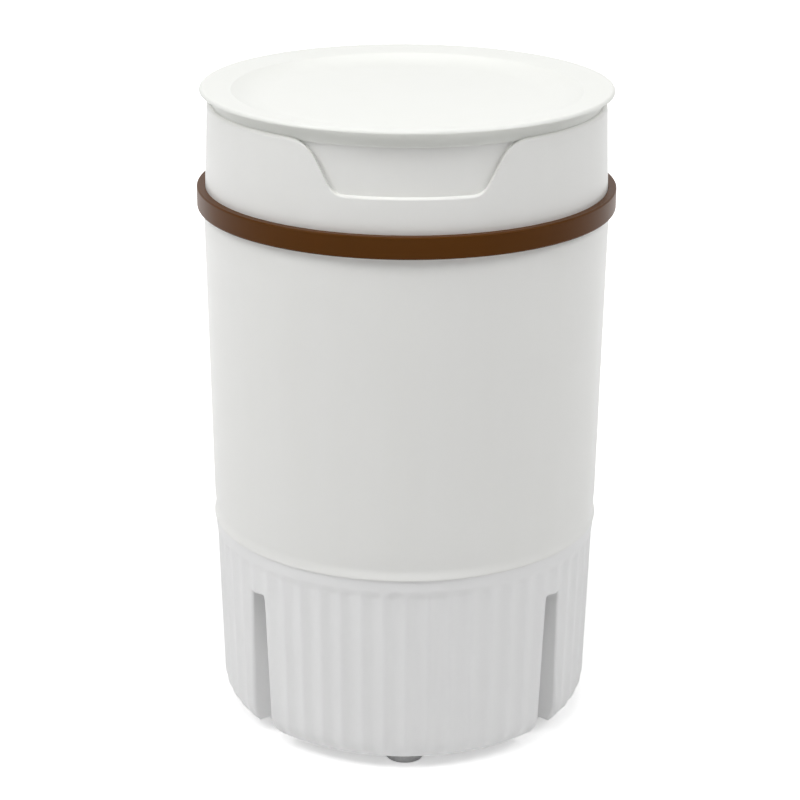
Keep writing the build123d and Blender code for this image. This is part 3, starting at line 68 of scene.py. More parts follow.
# Sizes read from the solids
base_low, base_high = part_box("base_skirt")
barrel_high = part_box("barrel")[1]
ring_low, ring_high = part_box("trim_ring")
collar_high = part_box("collar")[1]
lid_low, lid_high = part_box("lid")
base_bottom = base_low.z
base_top = base_high.z
barrel_top = barrel_high.z
barrel_top_radius = barrel_high.x
ring_bottom = ring_low.z
ring_top = ring_high.z
ring_radius = ring_high.x
collar_top = collar_high.z
collar_bottom_radius = collar_high.x
lid_top = lid_high.z
lid_radius = lid_high.x
skirt_bottom = lid_low.z

# Walls and the gap between pieces that don't touch
shell_wall = 2.5 * mm
gap = 0.3 * mm

# Base skirt: its taper, round lower edge, flutes, slots, service pocket and the cover's seat
base_top_radius = barrel_top_radius - 3.6 * mm
base_bottom_radius = base_top_radius - 3.6 * mm
base_corner = base_bottom + 2.8 * mm
base_edge_radius = 18.0 * mm
base_edge_sweep = radians(50)
base_edge_top = base_corner + base_edge_radius * sin(base_edge_sweep)
base_edge_margin = 0.4 * mm
flute_count = 56
flute_steps = 10
flute_depth = 1.4 * mm
flute_step = 0.5 * mm
flute_top = base_top - 6.5 * mm
flute_fade = 7.0 * mm
flute_bottom = base_corner
flute_low_fade = 4.0 * mm
slot_angle = radians(50.6)
slot_top_width = 12.2 * mm
slot_bottom_width = 19.2 * mm
slot_top = base_top - 28.8 * mm
slot_back_radius = base_bottom_radius - 15.7 * mm
slot_corner = 1.5 * mm
slot_edge = 2.2 * mm
pocket_y = base_bottom_radius - 14.7 * mm
pocket_width = 76.0 * mm
pocket_height = 62.0 * mm
pocket_bottom = base_bottom + 30.0 * mm
pocket_corner = 6.0 * mm
pocket_edge = 1.3 * mm
cover_radius = base_bottom_radius - 38.0 * mm
cover_ledge = 9.0 * mm
cover_thickness = 3.0 * mm
foot_radius = 11.8 * mm

# Barrel and collar, with the groove for the lid's skirt and the finger recess
barrel_bottom_radius = barrel_top_radius - 2.7 * mm
collar_top_radius = collar_bottom_radius - 2.05 * mm
neck_radius = collar_top_radius - 3.7 * mm
neck_wall = 2.0 * mm
skirt_radius = neck_radius + 1.0 * mm
skirt_end = collar_top - 1.4 * mm
groove_radius = skirt_radius + 0.12 * mm
groove_bottom = skirt_end - 0.3 * mm
rim_edge = 2.3 * mm
recess_edge = 1.0 * mm
recess_bottom = collar_top - 30.0 * mm
recess_low_x = 42.4 * mm
recess_high_x = 57.4 * mm
recess_low_round = 10.0 * mm
recess_high_round = 17.5 * mm

# Nodes that hold more than one of a kind, or are one of several alike
foot_nodes = ("foot_front", "foot_right", "foot_rear", "foot_left")
screw_nodes = ("cover_screws", "foot_screws")

# The photograph's view: a long lens, a little above the lid and a little to the left
photo_side = 800
photo_focal = 2355.3
sensor_width = 36.0
camera_distance = 1398.4 * mm
camera_height = 701.4 * mm
camera_turn = radians(-0.5)
camera_yaw = radians(0.137)
camera_pitch = radians(19.648)
camera_roll = radians(0.293)

# Meshes: steps, and when edges are sharp and points are one
around = 288
arc_step = radians(9)
sharp_angle = radians(32)
join_distance = 0.001 * mm
collar_edge_rows = 6
window_skin_rows = 6
window_edge_rows = 6


def linear(code):
    """Linear colour, with its alpha, of an sRGB hex code."""
    values = [int(code[i : i + 2], 16) / 255 for i in (1, 3, 5)]
    return [v / 12.92 if v <= 0.04045 else ((v + 0.055) / 1.055) ** 2.4 for v in values] + [1]


def add_node(tree, kind, inputs=None, **settings):
    """A node with its settings, and with values or other nodes' sockets on its inputs."""
    node = tree.nodes.new(kind)
    for name, value in settings.items():
        setattr(node, name, value)
    for name, value in (inputs or {}).items():
        if isinstance(value, bpy.types.NodeSocket):
            tree.links.new(value, node.inputs[name])
        else:
            node.inputs[name].default_value = value
    return node


# Camera
def make_camera():
    """The camera at the photograph's place, with its level turned by the same roll."""
    data = bpy.data.cameras.new("photograph")
    data.sensor_width = sensor_width
    data.lens = photo_focal / photo_side * sensor_width
    data.clip_end = 20
    camera = bpy.data.objects.new("photograph", data)
    bpy.context.scene.collection.objects.link(camera)
    turn = camera_yaw + camera_turn
    level_right = Vector((cos(turn), sin(turn), 0))
    heading = Vector((-sin(turn), cos(turn), 0))
    forward = heading * cos(camera_pitch) - Vector((0, 0, 1)) * sin(camera_pitch)
    level_up = heading * sin(camera_pitch) + Vector((0, 0, 1)) * cos(camera_pitch)
    right = cos(camera_roll) * level_right + sin(camera_roll) * level_up
    up = -sin(camera_roll) * level_right + cos(camera_roll) * level_up
    rotation = Matrix((right, up, -forward)).transposed().to_4x4()
    place = Vector(
        (camera_distance * sin(camera_turn), -camera_distance * cos(camera_turn), camera_height)
    )
    camera.matrix_world = Matrix.Translation(place) @ rotation
    bpy.context.scene.camera = camera


# Light
def make_lamp(name, place, size, power):
    """A square soft lamp that faces the middle of the object."""
    data = bpy.data.lights.new(name, "AREA")
    data.shape = "SQUARE"
    data.size = size
    data.energy = power
    lamp = bpy.data.objects.new(name, data)
    bpy.context.scene.collection.objects.link(lamp)
    target = Vector((0, 0, (base_bottom + lid_top) / 2))
    lamp.location = place
    lamp.rotation_mode = "QUATERNION"
    lamp.rotation_quaternion = (target - Vector(place)).to_track_quat("-Z", "Y")


def calc(tree, operation, *values):
    """The result of a sum on values or sockets."""
    inputs = dict(enumerate(values))
    return add_node(tree, "ShaderNodeMath", inputs, operation=operation).outputs[0]


def seen_rays(tree):
    """1 for a ray from the camera, off gloss or through glass, and 0 for the others."""
    path = add_node(tree, "ShaderNodeLightPath").outputs
    seen = calc(tree, "MAXIMUM", path["Is Camera Ray"], path["Is Glossy Ray"])
    return calc(tree, "MAXIMUM", seen, path["Is Transmission Ray"])


def make_world():
    """A studio that is lighter overhead and behind; the camera, gloss and glass see plain white."""
    level = 0.15
    overhead = 0.06
    behind = 0.25
    lowest = 0.03
    world = bpy.data.worlds.new("studio")
    bpy.context.scene.world = world
    world.use_nodes = True
    tree = world.node_tree
    tree.nodes.clear()
    way = add_node(tree, "ShaderNodeTexCoord").outputs["Generated"]
    parts = add_node(tree, "ShaderNodeSeparateXYZ", {0: way}).outputs
    high = calc(tree, "POWER", calc(tree, "MAXIMUM", parts["Z"], 0.0), 2.0)
    room = calc(tree, "MULTIPLY_ADD", high, overhead, level)
    room = calc(tree, "MULTIPLY_ADD", parts["Y"], behind, room)
    room = calc(tree, "MAXIMUM", room, lowest)
    shade = add_node(tree, "ShaderNodeMix", {0: seen_rays(tree), 2: room, 3: 1.0}).outputs[0]
    back = {"Color": linear("#ffffff"), "Strength": shade}
    studio = add_node(tree, "ShaderNodeBackground", back)
    add_node(tree, "ShaderNodeOutputWorld", {"Surface": studio.outputs[0]})


def make_floor():
    """A pale floor that takes the shadow and is plain white to the camera elsewhere."""
    size = 6.0
    near, far = 0.25, 1.0
    near_glow = 0.45
    mesh = bpy.data.meshes.new("floor")
    corners = [(-size, -size, 0), (size, -size, 0), (size, size, 0), (-size, size, 0)]
    mesh.from_pydata(corners, [], [(0, 1, 2, 3)])
    floor = bpy.data.objects.new("floor", mesh)
    bpy.context.scene.collection.objects.link(floor)
    material = bpy.data.materials.new("Painted studio floor")
    material.use_nodes = True
    tree = material.node_tree
    tree.nodes.clear()
    place = add_node(tree, "ShaderNodeTexCoord").outputs["Object"]
    away = add_node(tree, "ShaderNodeVectorMath", {0: place}, operation="LENGTH").outputs["Value"]
    ends = {"Value": away, "From Min": near, "From Max": far, "To Min": near_glow, "To Max": 1.0}
    glow = add_node(tree, "ShaderNodeMapRange", ends).outputs[0]
    light = {"Color": linear("#ffffff"), "Strength": calc(tree, "MULTIPLY", seen_rays(tree), glow)}
    lift = add_node(tree, "ShaderNodeEmission", light)
    paint = add_node(tree, "ShaderNodeBsdfDiffuse", {"Color": linear("#f6f6f6")})
    both = add_node(tree, "ShaderNodeAddShader", {0: paint.outputs[0], 1: lift.outputs[0]})
    add_node(tree, "ShaderNodeOutputMaterial", {"Surface": both.outputs[0]})
    mesh.materials.append(material)


# Finishes
def pattern(tree, kind, size, stretch=(1, 1, 1), **values):
    """A pattern in the object's own space, with features of the given size."""
    place = add_node(tree, "ShaderNodeTexCoord").outputs["Object"]
    scale = [share / size for share in stretch]
    laid = add_node(tree, "ShaderNodeMapping", {"Vector": place, "Scale": scale})
    return add_node(tree, kind, {"Vector": laid.outputs[0], "Scale": 1.0, **values}).outputs


def between(tree, share, low, high):
    """A value that runs from low to high with a pattern."""
    return add_node(tree, "ShaderNodeMapRange", {0: share, 3: low, 4: high}).outputs[0]


def mixed(tree, share, low, high):
    """A colour that runs from one to the other with a pattern."""
    inputs = {0: share, 6: linear(low), 7: linear(high)}
    return add_node(tree, "ShaderNodeMix", inputs, data_type="RGBA").outputs[2]


def relief(tree, shader, height, distance):
    """Raises the surface by a pattern's height."""
    inputs = {"Height": height, "Distance": distance, "Strength": 1.0}
    bump = add_node(tree, "ShaderNodeBump", inputs)
    tree.links.new(bump.outputs[0], shader.inputs["Normal"])


def new_finish(name, metal=0.0, shine=0.5, index=1.5):
    """A material with its tree and its shader."""
    material = bpy.data.materials.new(name)
    material.use_nodes = True
    tree = material.node_tree
    shader = tree.nodes["Principled BSDF"]
    shader.inputs["Metallic"].default_value = metal
    shader.inputs["IOR"].default_value = index
    shader.inputs["Specular IOR Level"].default_value = shine
    return material, tree, shader


def moulded(name, colour, shade, roughness, shine=0.5, grain=0.9 * mm, depth=0.004 * mm):
    """Injection-moulded plastic: nearly one colour, an even gloss that drifts with the flow of the
    melt along the draw, and the faint grain of the mould. The grain is drawn about three times as
    coarse as the real one so that it shows."""
    material, tree, shader = new_finish(name, shine=shine)
    flow = pattern(tree, "ShaderNodeTexNoise", 22 * mm, (1, 1, 0.12), Detail=2.0)["Fac"]
    tree.links.new(mixed(tree, flow, shade, colour), shader.inputs["Base Color"])
    drift = 0.12 * roughness
    gloss = between(tree, flow, roughness - drift, roughness + drift)
    tree.links.new(gloss, shader.inputs["Roughness"])
    relief(tree, shader, pattern(tree, "ShaderNodeTexNoise", grain)["Fac"], depth)
    return material


def rubber(name, colour, shade, roughness, pores=1.2 * mm):
    """Moulded rubber: a dull surface with fine open pores, painted a little darker inside them as
    painted shade.
    """
    material, tree, shader = new_finish(name, shine=0.35, index=1.52)
    pit_depth_and_shade = pattern(tree, "ShaderNodeTexVoronoi", pores)["Distance"]
    # The darker colour inside the pores is painted shade; the same pattern also sinks them
    tree.links.new(mixed(tree, pit_depth_and_shade, shade, colour), shader.inputs["Base Color"])
    shader.inputs["Roughness"].default_value = roughness
    relief(tree, shader, pit_depth_and_shade, 0.03 * mm)
    return material


def metal(name, colour, shade, roughness, marks, stretch=(1, 1, 1)):
    """Worked metal: fine marks of the tool or the die change its colour and its gloss a little."""
    material, tree, shader = new_finish(name, metal=1.0)
    lines = pattern(tree, "ShaderNodeTexNoise", marks, stretch, Detail=3.0)["Fac"]
    tree.links.new(mixed(tree, lines, shade, colour), shader.inputs["Base Color"])
    tree.links.new(between(tree, lines, 0.8 * roughness, 1.25 * roughness), shader.inputs["Roughness"])
    relief(tree, shader, lines, 0.01 * mm)
    return material


def wound_wire(name):
    """Enamelled copper wire laid side by side, each turn 0.5 mm across: every turn's crown is a painted
    highlight, and the groove between turns is painted shade.
    """
    material, tree, shader = new_finish(name, metal=1.0)
    turns = pattern(tree, "ShaderNodeTexWave", 0.5 * mm, (0.3, 0.3, 1))["Fac"]
    # The lighter colour on each turn's crown is a painted highlight, and the darker colour in the
    # grooves is painted shade
    tree.links.new(mixed(tree, turns, "#7a3a18", "#cf7f4a"), shader.inputs["Base Color"])
    shader.inputs["Roughness"].default_value = 0.3
    relief(tree, shader, turns, 0.08 * mm)
    return material


def circuit_board(name):
    """Glass-epoxy board under green resist: tracks 0.8 mm wide stand up a little and look lighter."""
    material, tree, shader = new_finish(name)
    tracks = pattern(
        tree, "ShaderNodeTexBrick", 1.6 * mm, (1, 1, 1), **{"Mortar Size": 0.12, "Bias": 0.2}
    )["Fac"]
    tree.links.new(mixed(tree, tracks, "#124f25", "#2f8547"), shader.inputs["Base Color"])
    shader.inputs["Roughness"].default_value = 0.25
    relief(tree, shader, tracks, 0.03 * mm)
    return material


def light_guide(name):
    """Clear moulded polycarbonate: it lets the lamp behind it show, with a slight ripple."""
    material, tree, shader = new_finish(name, index=1.58)
    shader.inputs["Base Color"].default_value = linear("#fbefe2")
    shader.inputs["Transmission Weight"].default_value = 0.85
    shader.inputs["Roughness"].default_value = 0.12
    relief(tree, shader, pattern(tree, "ShaderNodeTexNoise", 1.5 * mm)["Fac"], 0.02 * mm)
    return material


finishes = {
    "lid_white": moulded("Satin moulded polypropylene", "#edeeea", "#eaebe6", 0.36, shine=0.65),
    "shell_white": moulded("Polished moulded ABS", "#f0f0ee", "#ededea", 0.38, shine=0.27),
    "base_white": moulded("Satin moulded ABS", "#f1f1f1", "#eeeeee", 0.44, shine=0.28),
    "ring_brown": moulded("Satin brown ABS", "#542f02", "#4f2c01", 0.36, shine=0.08),
    # The foot's grey rubber is painted much lighter than it is, as painted light against the shade under
    # the base
    "foot_grey": rubber("Foot rubber painted lighter against shade", "#e4e4e4", "#d4d4d4", 0.7),
    "tub_white": moulded("Polished moulded polypropylene", "#f1f3f4", "#edeff0", 0.2),
    "pulsator_grey": moulded("Smooth grey polypropylene", "#c4cacf", "#bcc3c8", 0.3),
    "gasket_grey": rubber("Pale silicone", "#c6c6c2", "#bcbcb8", 0.5, 0.8 * mm),
    "seal_black": rubber("Black nitrile rubber", "#232323", "#171717", 0.55),
    "hose_grey": rubber("Grey hose rubber", "#8b8d8f", "#7d7f81", 0.45),
    "screw_steel": metal("Zinc-plated steel", "#cfd0d3", "#bcbec2", 0.28, 0.7 * mm),
    "shaft_steel": metal("Ground stainless steel", "#c9c9cb", "#b3b3b6", 0.2, 0.5 * mm, (0.1, 0.1, 1)),
    "bush_bronze": metal("Sintered bronze", "#c89a5e", "#a37a45", 0.45, 0.4 * mm),
    "gear_ivory": moulded("Ivory acetal", "#f0ecde", "#e9e4d3", 0.33),
    "gearbox_grey": moulded("Glass-filled grey nylon", "#979a9c", "#8c8f91", 0.55, depth=0.02 * mm),
    "motor_steel": metal("Drawn plated steel", "#c1c3c5", "#adafb2", 0.32, 1.5 * mm, (1, 1, 0.1)),
    "part_black": moulded("Black moulded nylon", "#3a3a3a", "#343434", 0.42, depth=0.01 * mm),
    "magnet_dark": rubber("Sintered ferrite", "#707073", "#58585b", 0.6, 0.6 * mm),
    "armature_copper": wound_wire("Enamelled copper winding"),
    "board_green": circuit_board("Green resist on glass epoxy"),
    "plug_white": moulded("Natural moulded nylon", "#f2f2ea", "#ebebe1", 0.45),
    "lens_clear": light_guide("Clear polycarbonate light guide"),
    "lead_black": rubber("Black sleeve", "#383838", "#2c2c2c", 0.5, 0.9 * mm),
}


# Shapes
def rounded(corners, closed=True):
    """Points along an outline of (across, up, rounding) corners, with arcs at the rounded ones."""
    points = []
    for index, (x, y, rounding) in enumerate(corners):
        here = Vector((x, y))
        end = not closed and index in (0, len(corners) - 1)
        if end or not rounding:
            points.append(here)
            continue
        before = (Vector(corners[index - 1][:2]) - here).normalized()
        after = (Vector(corners[(index + 1) % len(corners)][:2]) - here).normalized()
        half = before.angle(after) / 2
        centre = here + (before + after).normalized() * rounding / sin(half)
        start = here + before * rounding / tan(half) - centre
        finish = here + after * rounding / tan(half) - centre
        steps = max(3, round(start.angle(finish) / arc_step))
        for step in range(steps + 1):
            points.append(centre + start.slerp(finish, step / steps) * rounding)
    return points


def add_sheet(work, rows):
    """Faces between rows of points that have the same number of points."""
    lines = [[work.verts.new(point) for point in row] for row in rows]
    for low, high in zip(lines, lines[1:]):
        for index in range(len(low) - 1):
            work.faces.new((low[index], low[index + 1], high[index + 1], high[index]))
    return lines


def closed_mesh(name, work):
    """The mesh of some faces, with their shared points joined and their normals outward."""
    bmesh.ops.remove_doubles(work, verts=work.verts, dist=join_distance)
    bmesh.ops.dissolve_degenerate(work, edges=work.edges, dist=join_distance)
    bmesh.ops.recalc_face_normals(work, faces=work.faces)
    mesh = bpy.data.meshes.new(name)
    work.to_mesh(mesh)
    work.free()
    return mesh


def turned(name, outline, steps=around):
    """A closed outline of (radius, height) points turned about the Z axis."""
    work = bmesh.new()
    rows = []
    for radius, height in list(outline) + [outline[0]]:
        angles = [2 * pi * step / steps for step in range(steps + 1)]
        rows.append([(radius * cos(angle), radius * sin(angle), height) for angle in angles])
    add_sheet(work, rows)
    return closed_mesh(name, work)


def show(name, mesh, node):
    """Puts a finished mesh in the scene in place of a solid."""
    mesh.materials.clear()
    mesh.materials.append(finishes[slots[node]])
    mesh.shade_smooth()
    mesh.set_sharp_from_angle(angle=sharp_angle)
    piece = bpy.data.objects.new(name, mesh)
    bpy.context.scene.collection.objects.link(piece)
    piece.modifiers.new("Even shading", "WEIGHTED_NORMAL").keep_sharp = True
    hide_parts(node)
    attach(piece, nodes[node]["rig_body"])


def joined(node):
    """A solid's own surface, to work on, with its loose triangles joined."""
    work = bmesh.new()
    work.from_mesh(nodes[node].data)
    bmesh.ops.remove_doubles(work, verts=work.verts, dist=2 * join_distance)
    return work


def smooth_copy(name, node):
    """Shows a copy of a solid's own surface."""
    mesh = nodes[node].data.copy()
    mesh.name = name
    work = joined(node)
    work.to_mesh(mesh)
    work.free()
    show(name, mesh, node)


# Geometry trees
def new_group(name, **inputs):
    """A tree that is given a mesh, the named inputs and a finish: it, its sockets and their values."""
    tree = bpy.data.node_groups.new(name, "GeometryNodeTree")
    sockets = {}
    for label, kind in {"Geometry": "Geometry", **inputs, "Finish": "Material"}.items():
        kind = "NodeSocket" + kind
        sockets[label] = tree.interface.new_socket(label, in_out="INPUT", socket_type=kind)
    tree.interface.new_socket("Geometry", in_out="OUTPUT", socket_type="NodeSocketGeometry")
    return tree, sockets, add_node(tree, "NodeGroupInput").outputs


def end_group(tree, geometry, given):
    """Ends a tree with real geometry in its finish."""
    real = add_node(tree, "GeometryNodeRealizeInstances", {0: geometry}).outputs[0]
    dress = {"Geometry": real, "Material": given["Finish"]}
    dressed = add_node(tree, "GeometryNodeSetMaterial", dress).outputs[0]
    add_node(tree, "NodeGroupOutput", {0: dressed})


def use_group(piece, tree, sockets, **values):
    """Puts a tree on a piece, with its values by the sockets' identifiers."""
    modifier = piece.modifiers.new(tree.name, "NODES")
    modifier.node_group = tree
    for label, value in values.items():
        modifier[sockets[label].identifier] = value


def baked(name, piece):
    """The mesh that a helper object's modifiers make; the helper goes."""
    graph = bpy.context.evaluated_depsgraph_get()
    mesh = bpy.data.meshes.new_from_object(piece.evaluated_get(graph), depsgraph=graph)
    mesh.name = name
    bpy.data.objects.remove(piece)
    return mesh


# Windows in a turned shell: slots, pockets and recesses with a rounded edge and a floor
def path_at(path, share):
    """The point at a share of a path's length, and the way to its right there."""
    spans = [(b - a).length for a, b in zip(path, path[1:])]
    rest = share * sum(spans)
    for start, end, span in zip(path, path[1:], spans):
        if rest <= span or end is path[-1]:
            way = (end - start) / span
            return start + way * min(rest, span), Vector((way.y, -way.x))
        rest -= span


def world_spot(centre, across, out, height):
    """A point by its distance across and out from a vertical plane that faces an angle."""
    return Vector(
        (
            out * cos(centre) - across * sin(centre),
            out * sin(centre) + across * cos(centre),
            height,
        )
    )


def polar(angle, radius, height):
    """A point by its angle round the Z axis, its radius and its height."""
    return Vector((radius * cos(angle), radius * sin(angle), height))


# Lid
def make_lid():
    """The lift-off lid: a rim that falls a little inward, a shallow dish and a skirt below."""
    flange = 3.0 * mm
    flange_width = 19.0 * mm
    rim = 2.4 * mm
    rim_round = 2.0 * mm
    fall = 2.5 * mm
    dish_depth = 7.5 * mm
    dish_run = 20.0 * mm
    dish_round = 1.2 * mm
    floor_wall = 1.2 * mm
    skirt_wall = 2.0 * mm
    lip_wall = 0.85 * mm
    small_round = 0.3 * mm
    steps = 12
    seat = lid_top - flange
    floor_top = lid_top - dish_depth
    dish_edge = lid_radius - flange_width
    dish_floor = dish_edge - dish_run
    dish_rise = dish_depth - fall
    bend = (dish_run**2 + dish_rise**2) / (2 * dish_rise)
    centre = floor_top + bend

    def dish_arc(radius, swing):
        """The curve of the dish from its flat floor outward."""
        turns = [swing * step / steps for step in range(steps + 1)]
        return [(dish_floor + radius * sin(turn), centre - radius * cos(turn), 0) for turn in turns]

    under_bend = bend + floor_wall
    upper_side = dish_arc(bend, asin(dish_run / bend))
    under_side = dish_arc(under_bend, acos((centre - seat) / under_bend))
    corners = [
        (0, floor_top, 0),
        (dish_floor / 2, floor_top, 0),
        *upper_side[:-1],
        (dish_edge, lid_top - fall, dish_round),
        (lid_radius, lid_top, rim_round),
        (lid_radius, lid_top - rim, small_round),
        (skirt_radius, seat, small_round),
        (skirt_radius, skirt_end, small_round),
        (skirt_radius - lip_wall, skirt_end, small_round),
        (skirt_radius - lip_wall, skirt_bottom, 0),
        (skirt_radius - skirt_wall, skirt_bottom, small_round),
        (skirt_radius - skirt_wall, seat, small_round),
        *under_side[::-1],
        (0, floor_top - floor_wall, 0),
    ]
    show("lid_moulding", turned("lid", rounded(corners)), "lid")


# Barrel and trim ring
def make_barrel():
    """The plain middle shell, with a narrow waist, a round lower lip and its inner flange."""
    waist_share = 0.14
    waist_inset = 0.2 * mm
    lip_height = 1.8 * mm
    lip_edge = 0.8 * mm
    lip_bend = 6.0 * mm
    hollow_height = 5.0 * mm
    hollow_depth = 0.8 * mm
    hollow_bend = 8.0 * mm
    run_out = 9.5 * mm
    run_out_bend = 110.0 * mm
    flange_height = 3.0 * mm
    flange_bend = 1.0 * mm
    flange_reach = 13.0 * mm
    rim_round = 0.3 * mm
    waist = base_top + waist_share * (barrel_top - base_top)
    waist_radius = barrel_bottom_radius - waist_inset
    slope = (barrel_top_radius - waist_radius) / (barrel_top - waist)
    hollow = base_top + hollow_height
    hollow_radius = waist_radius - slope * (waist - hollow) - hollow_depth
    run_end = hollow + run_out
    tub_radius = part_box("wash_tub")[1].x - flange_reach
    outline = [
        (tub_radius, base_top, 0),
        (barrel_bottom_radius, base_top, lip_edge),
        (barrel_bottom_radius, base_top + lip_height, lip_bend),
        (hollow_radius, hollow, hollow_bend),
        (waist_radius - slope * (waist - run_end), run_end, run_out_bend),
        (barrel_top_radius, barrel_top, rim_round),
        (barrel_top_radius - shell_wall, barrel_top, rim_round),
        (waist_radius - shell_wall, waist, 0),
        (barrel_bottom_radius - shell_wall, base_top + flange_height, flange_bend),
        (tub_radius, base_top + flange_height, 0),
    ]

    # The gate mark of the mould: a low dome at the front
    mark_radius = 0.9 * mm
    mark_height = 0.25 * mm
    mark_root = 0.5 * mm
    mark_rise = 1.2 * mm
    mark_steps = 6
    turns = [pi / 2 * step / mark_steps for step in range(mark_steps + 1)]
    dome = [(mark_radius * cos(turn), mark_height * sin(turn)) for turn in turns]
    mark = turned("gate_mark", [(0, -mark_root), (mark_radius, -mark_root), *dome], 4 * mark_steps)
    place = Matrix.Translation((0, -hollow_radius, hollow + mark_rise))
    mark.transform(place @ Matrix.Rotation(pi / 2, 4, "X"))
    mesh = turned("barrel", rounded(outline))
    work = bmesh.new()
    work.from_mesh(mesh)
    work.from_mesh(mark)
    work.to_mesh(mesh)
    work.free()
    show("barrel_moulding", mesh, "barrel")


def make_ring():
    """The brown band, with rounded edges, that covers the joint of barrel and collar."""
    fit = 0.1 * mm
    low_round = 1.5 * mm
    top_round = 1.0 * mm
    inner_low_round = 0.3 * mm
    inner_top_round = 0.4 * mm
    outline = [
        (barrel_top_radius + fit, ring_bottom, inner_low_round),
        (ring_radius, ring_bottom, low_round),
        (ring_radius, ring_top, top_round),
        (collar_radius(ring_top) + fit, ring_top, inner_top_round),
        (collar_bottom_radius + fit, barrel_top + fit, 0),
        (barrel_top_radius + fit, barrel_top + fit, 0),
    ]
    show("trim_ring_moulding", turned("trim_ring", rounded(outline)), "trim_ring")


# Collar
def ease(value):
    """A smooth run from 0 to 1."""
    value = min(1, max(0, value))
    return value * value * (3 - 2 * value)


def collar_radius(height):
    """The radius of the collar's tapered skin at a height."""
    slope = (collar_bottom_radius - collar_top_radius) / (collar_top - barrel_top)
    return collar_bottom_radius - slope * (height - barrel_top)


def inward_to(point, inward, radius):
    """Where a level line inward from a point meets a cylinder."""
    half = point.x * inward.x + point.y * inward.y
    gone = -half - sqrt(max(0, half**2 - point.x**2 - point.y**2 + radius**2))
    return point + inward * max(0, gone)


def collar_edge(across, height, right):
    """The rounded edge beside a spot of the recess's outline. It widens toward the rim, where it
    also turns from the straight way in, which the recess has, to the way to the axis."""
    widen_from = 48.0 * mm
    widen_over = 22.0 * mm
    turn_from = 66.0 * mm
    turn_over = 14.0 * mm
    share = ease((abs(across) - widen_from) / widen_over)
    edge = recess_edge + (rim_edge - recess_edge) * share
    points = []
    for row in range(collar_edge_rows + 1):
        turn = pi / 2 * row / collar_edge_rows
        x = across + right.x * edge * (1 - sin(turn))
        z = height + right.y * edge * (1 - sin(turn))
        start = Vector((x, -sqrt(collar_radius(z) ** 2 - x**2), z))
        radial = Vector((-start.x, -start.y, 0)).normalized()
        share = ease((abs(across) - turn_from) / turn_over)
        inward = Vector((0, 1, 0)).lerp(radial, share).normalized()
        points.append(start + inward * edge * (1 - cos(turn)))
    return points, inward


def rim_edge_at(angle):
    """The rounded edge of the rim at an angle."""
    inward = -polar(angle, 1, 0)
    points = []
    for row in range(collar_edge_rows + 1):
        turn = pi / 2 * row / collar_edge_rows
        height = collar_top - rim_edge * (1 - sin(turn))
        start = polar(angle, collar_radius(height), height)
        points.append(start + inward * rim_edge * (1 - cos(turn)))
    return points, inward


def collar_column(bottom_angle, edge_angle, edge, inward):
    """One closed line of points: up the skin, over the edge, down to the neck and to the spigot."""
    skin_steps = 12
    wall_steps = 6
    neck_length = 44.0 * mm
    neck_round = 0.4 * mm
    spigot_length = 15.0 * mm
    skin = []
    for step in range(skin_steps):
        share = step / skin_steps
        height = barrel_top + (edge[0].z - barrel_top) * share
        angle = bottom_angle + (edge_angle - bottom_angle) * share
        skin.append(polar(angle, collar_radius(height), height))
    shelf = inward_to(edge[-1], inward, groove_radius)
    drop = Vector((shelf.x, shelf.y, min(edge[-1].z, groove_bottom)))
    foot = inward_to(drop, inward, neck_radius)
    top = Vector((foot.x, foot.y, collar_top))
    wall = [foot.lerp(top, step / wall_steps) for step in range(wall_steps + 1)]
    inner = neck_radius - neck_wall
    spigot = barrel_top_radius - shell_wall - gap
    under_recess = recess_bottom - shell_wall
    inside = [
        (inner + neck_round, collar_top),
        (inner, collar_top - neck_round),
        (inner, collar_top - neck_length),
        (neck_radius, collar_top - neck_length),
        (neck_radius, under_recess),
        (collar_radius(recess_bottom) - shell_wall, under_recess),
        (collar_bottom_radius - 1.5 * shell_wall, barrel_top),
        (spigot - shell_wall, barrel_top),
        (spigot - shell_wall, barrel_top - spigot_length),
        (spigot, barrel_top - spigot_length),
        (spigot, barrel_top),
    ]
    wall_angle = atan2(foot.y, foot.x)
    loop = [polar(wall_angle, radius, height) for radius, height in inside]
    return skin + edge + [shelf, drop] + wall + loop + [skin[0]]


def make_collar():
    """The upper shell. Its rounded edge runs along the rim and dips round the finger recess."""
    reach = 80.0 * mm
    recess_steps = 132
    rim_steps = 168
    side = [
        (reach, collar_top, 0),
        (recess_high_x, collar_top, recess_high_round),
        (recess_low_x, recess_bottom, recess_low_round),
    ]
    path = rounded([(-x, z, bend) for x, z, bend in side] + side[::-1], closed=False)
    back = -sqrt(collar_top_radius**2 - reach**2)
    start = atan2(back, -reach)
    finish = atan2(back, reach)
    columns = []
    for step in range(recess_steps + 1):
        share = step / recess_steps
        spot, right = path_at(path, share)
        edge, inward = collar_edge(*spot, right)
        edge_angle = atan2(edge[0].y, edge[0].x)
        columns.append(collar_column(start + (finish - start) * share, edge_angle, edge, inward))
    for step in range(1, rim_steps):
        angle = finish + (start + 2 * pi - finish) * step / rim_steps
        columns.append(collar_column(angle, angle, *rim_edge_at(angle)))
    work = bmesh.new()
    add_sheet(work, columns + columns[:1])
    show("collar_moulding", closed_mesh("collar", work), "collar")


# Base skirt
def column_angle(column):
    """The angle of a column of the skirt; every flute has the same number of columns."""
    return -pi / 2 + 2 * pi * column / flute_steps / flute_count


def skirt_radius_at(height):
    """The radius of the skirt's tapered skin at a height."""
    slope = (base_top_radius - base_bottom_radius) / (base_top - base_bottom)
    return base_top_radius - slope * (base_top - height)


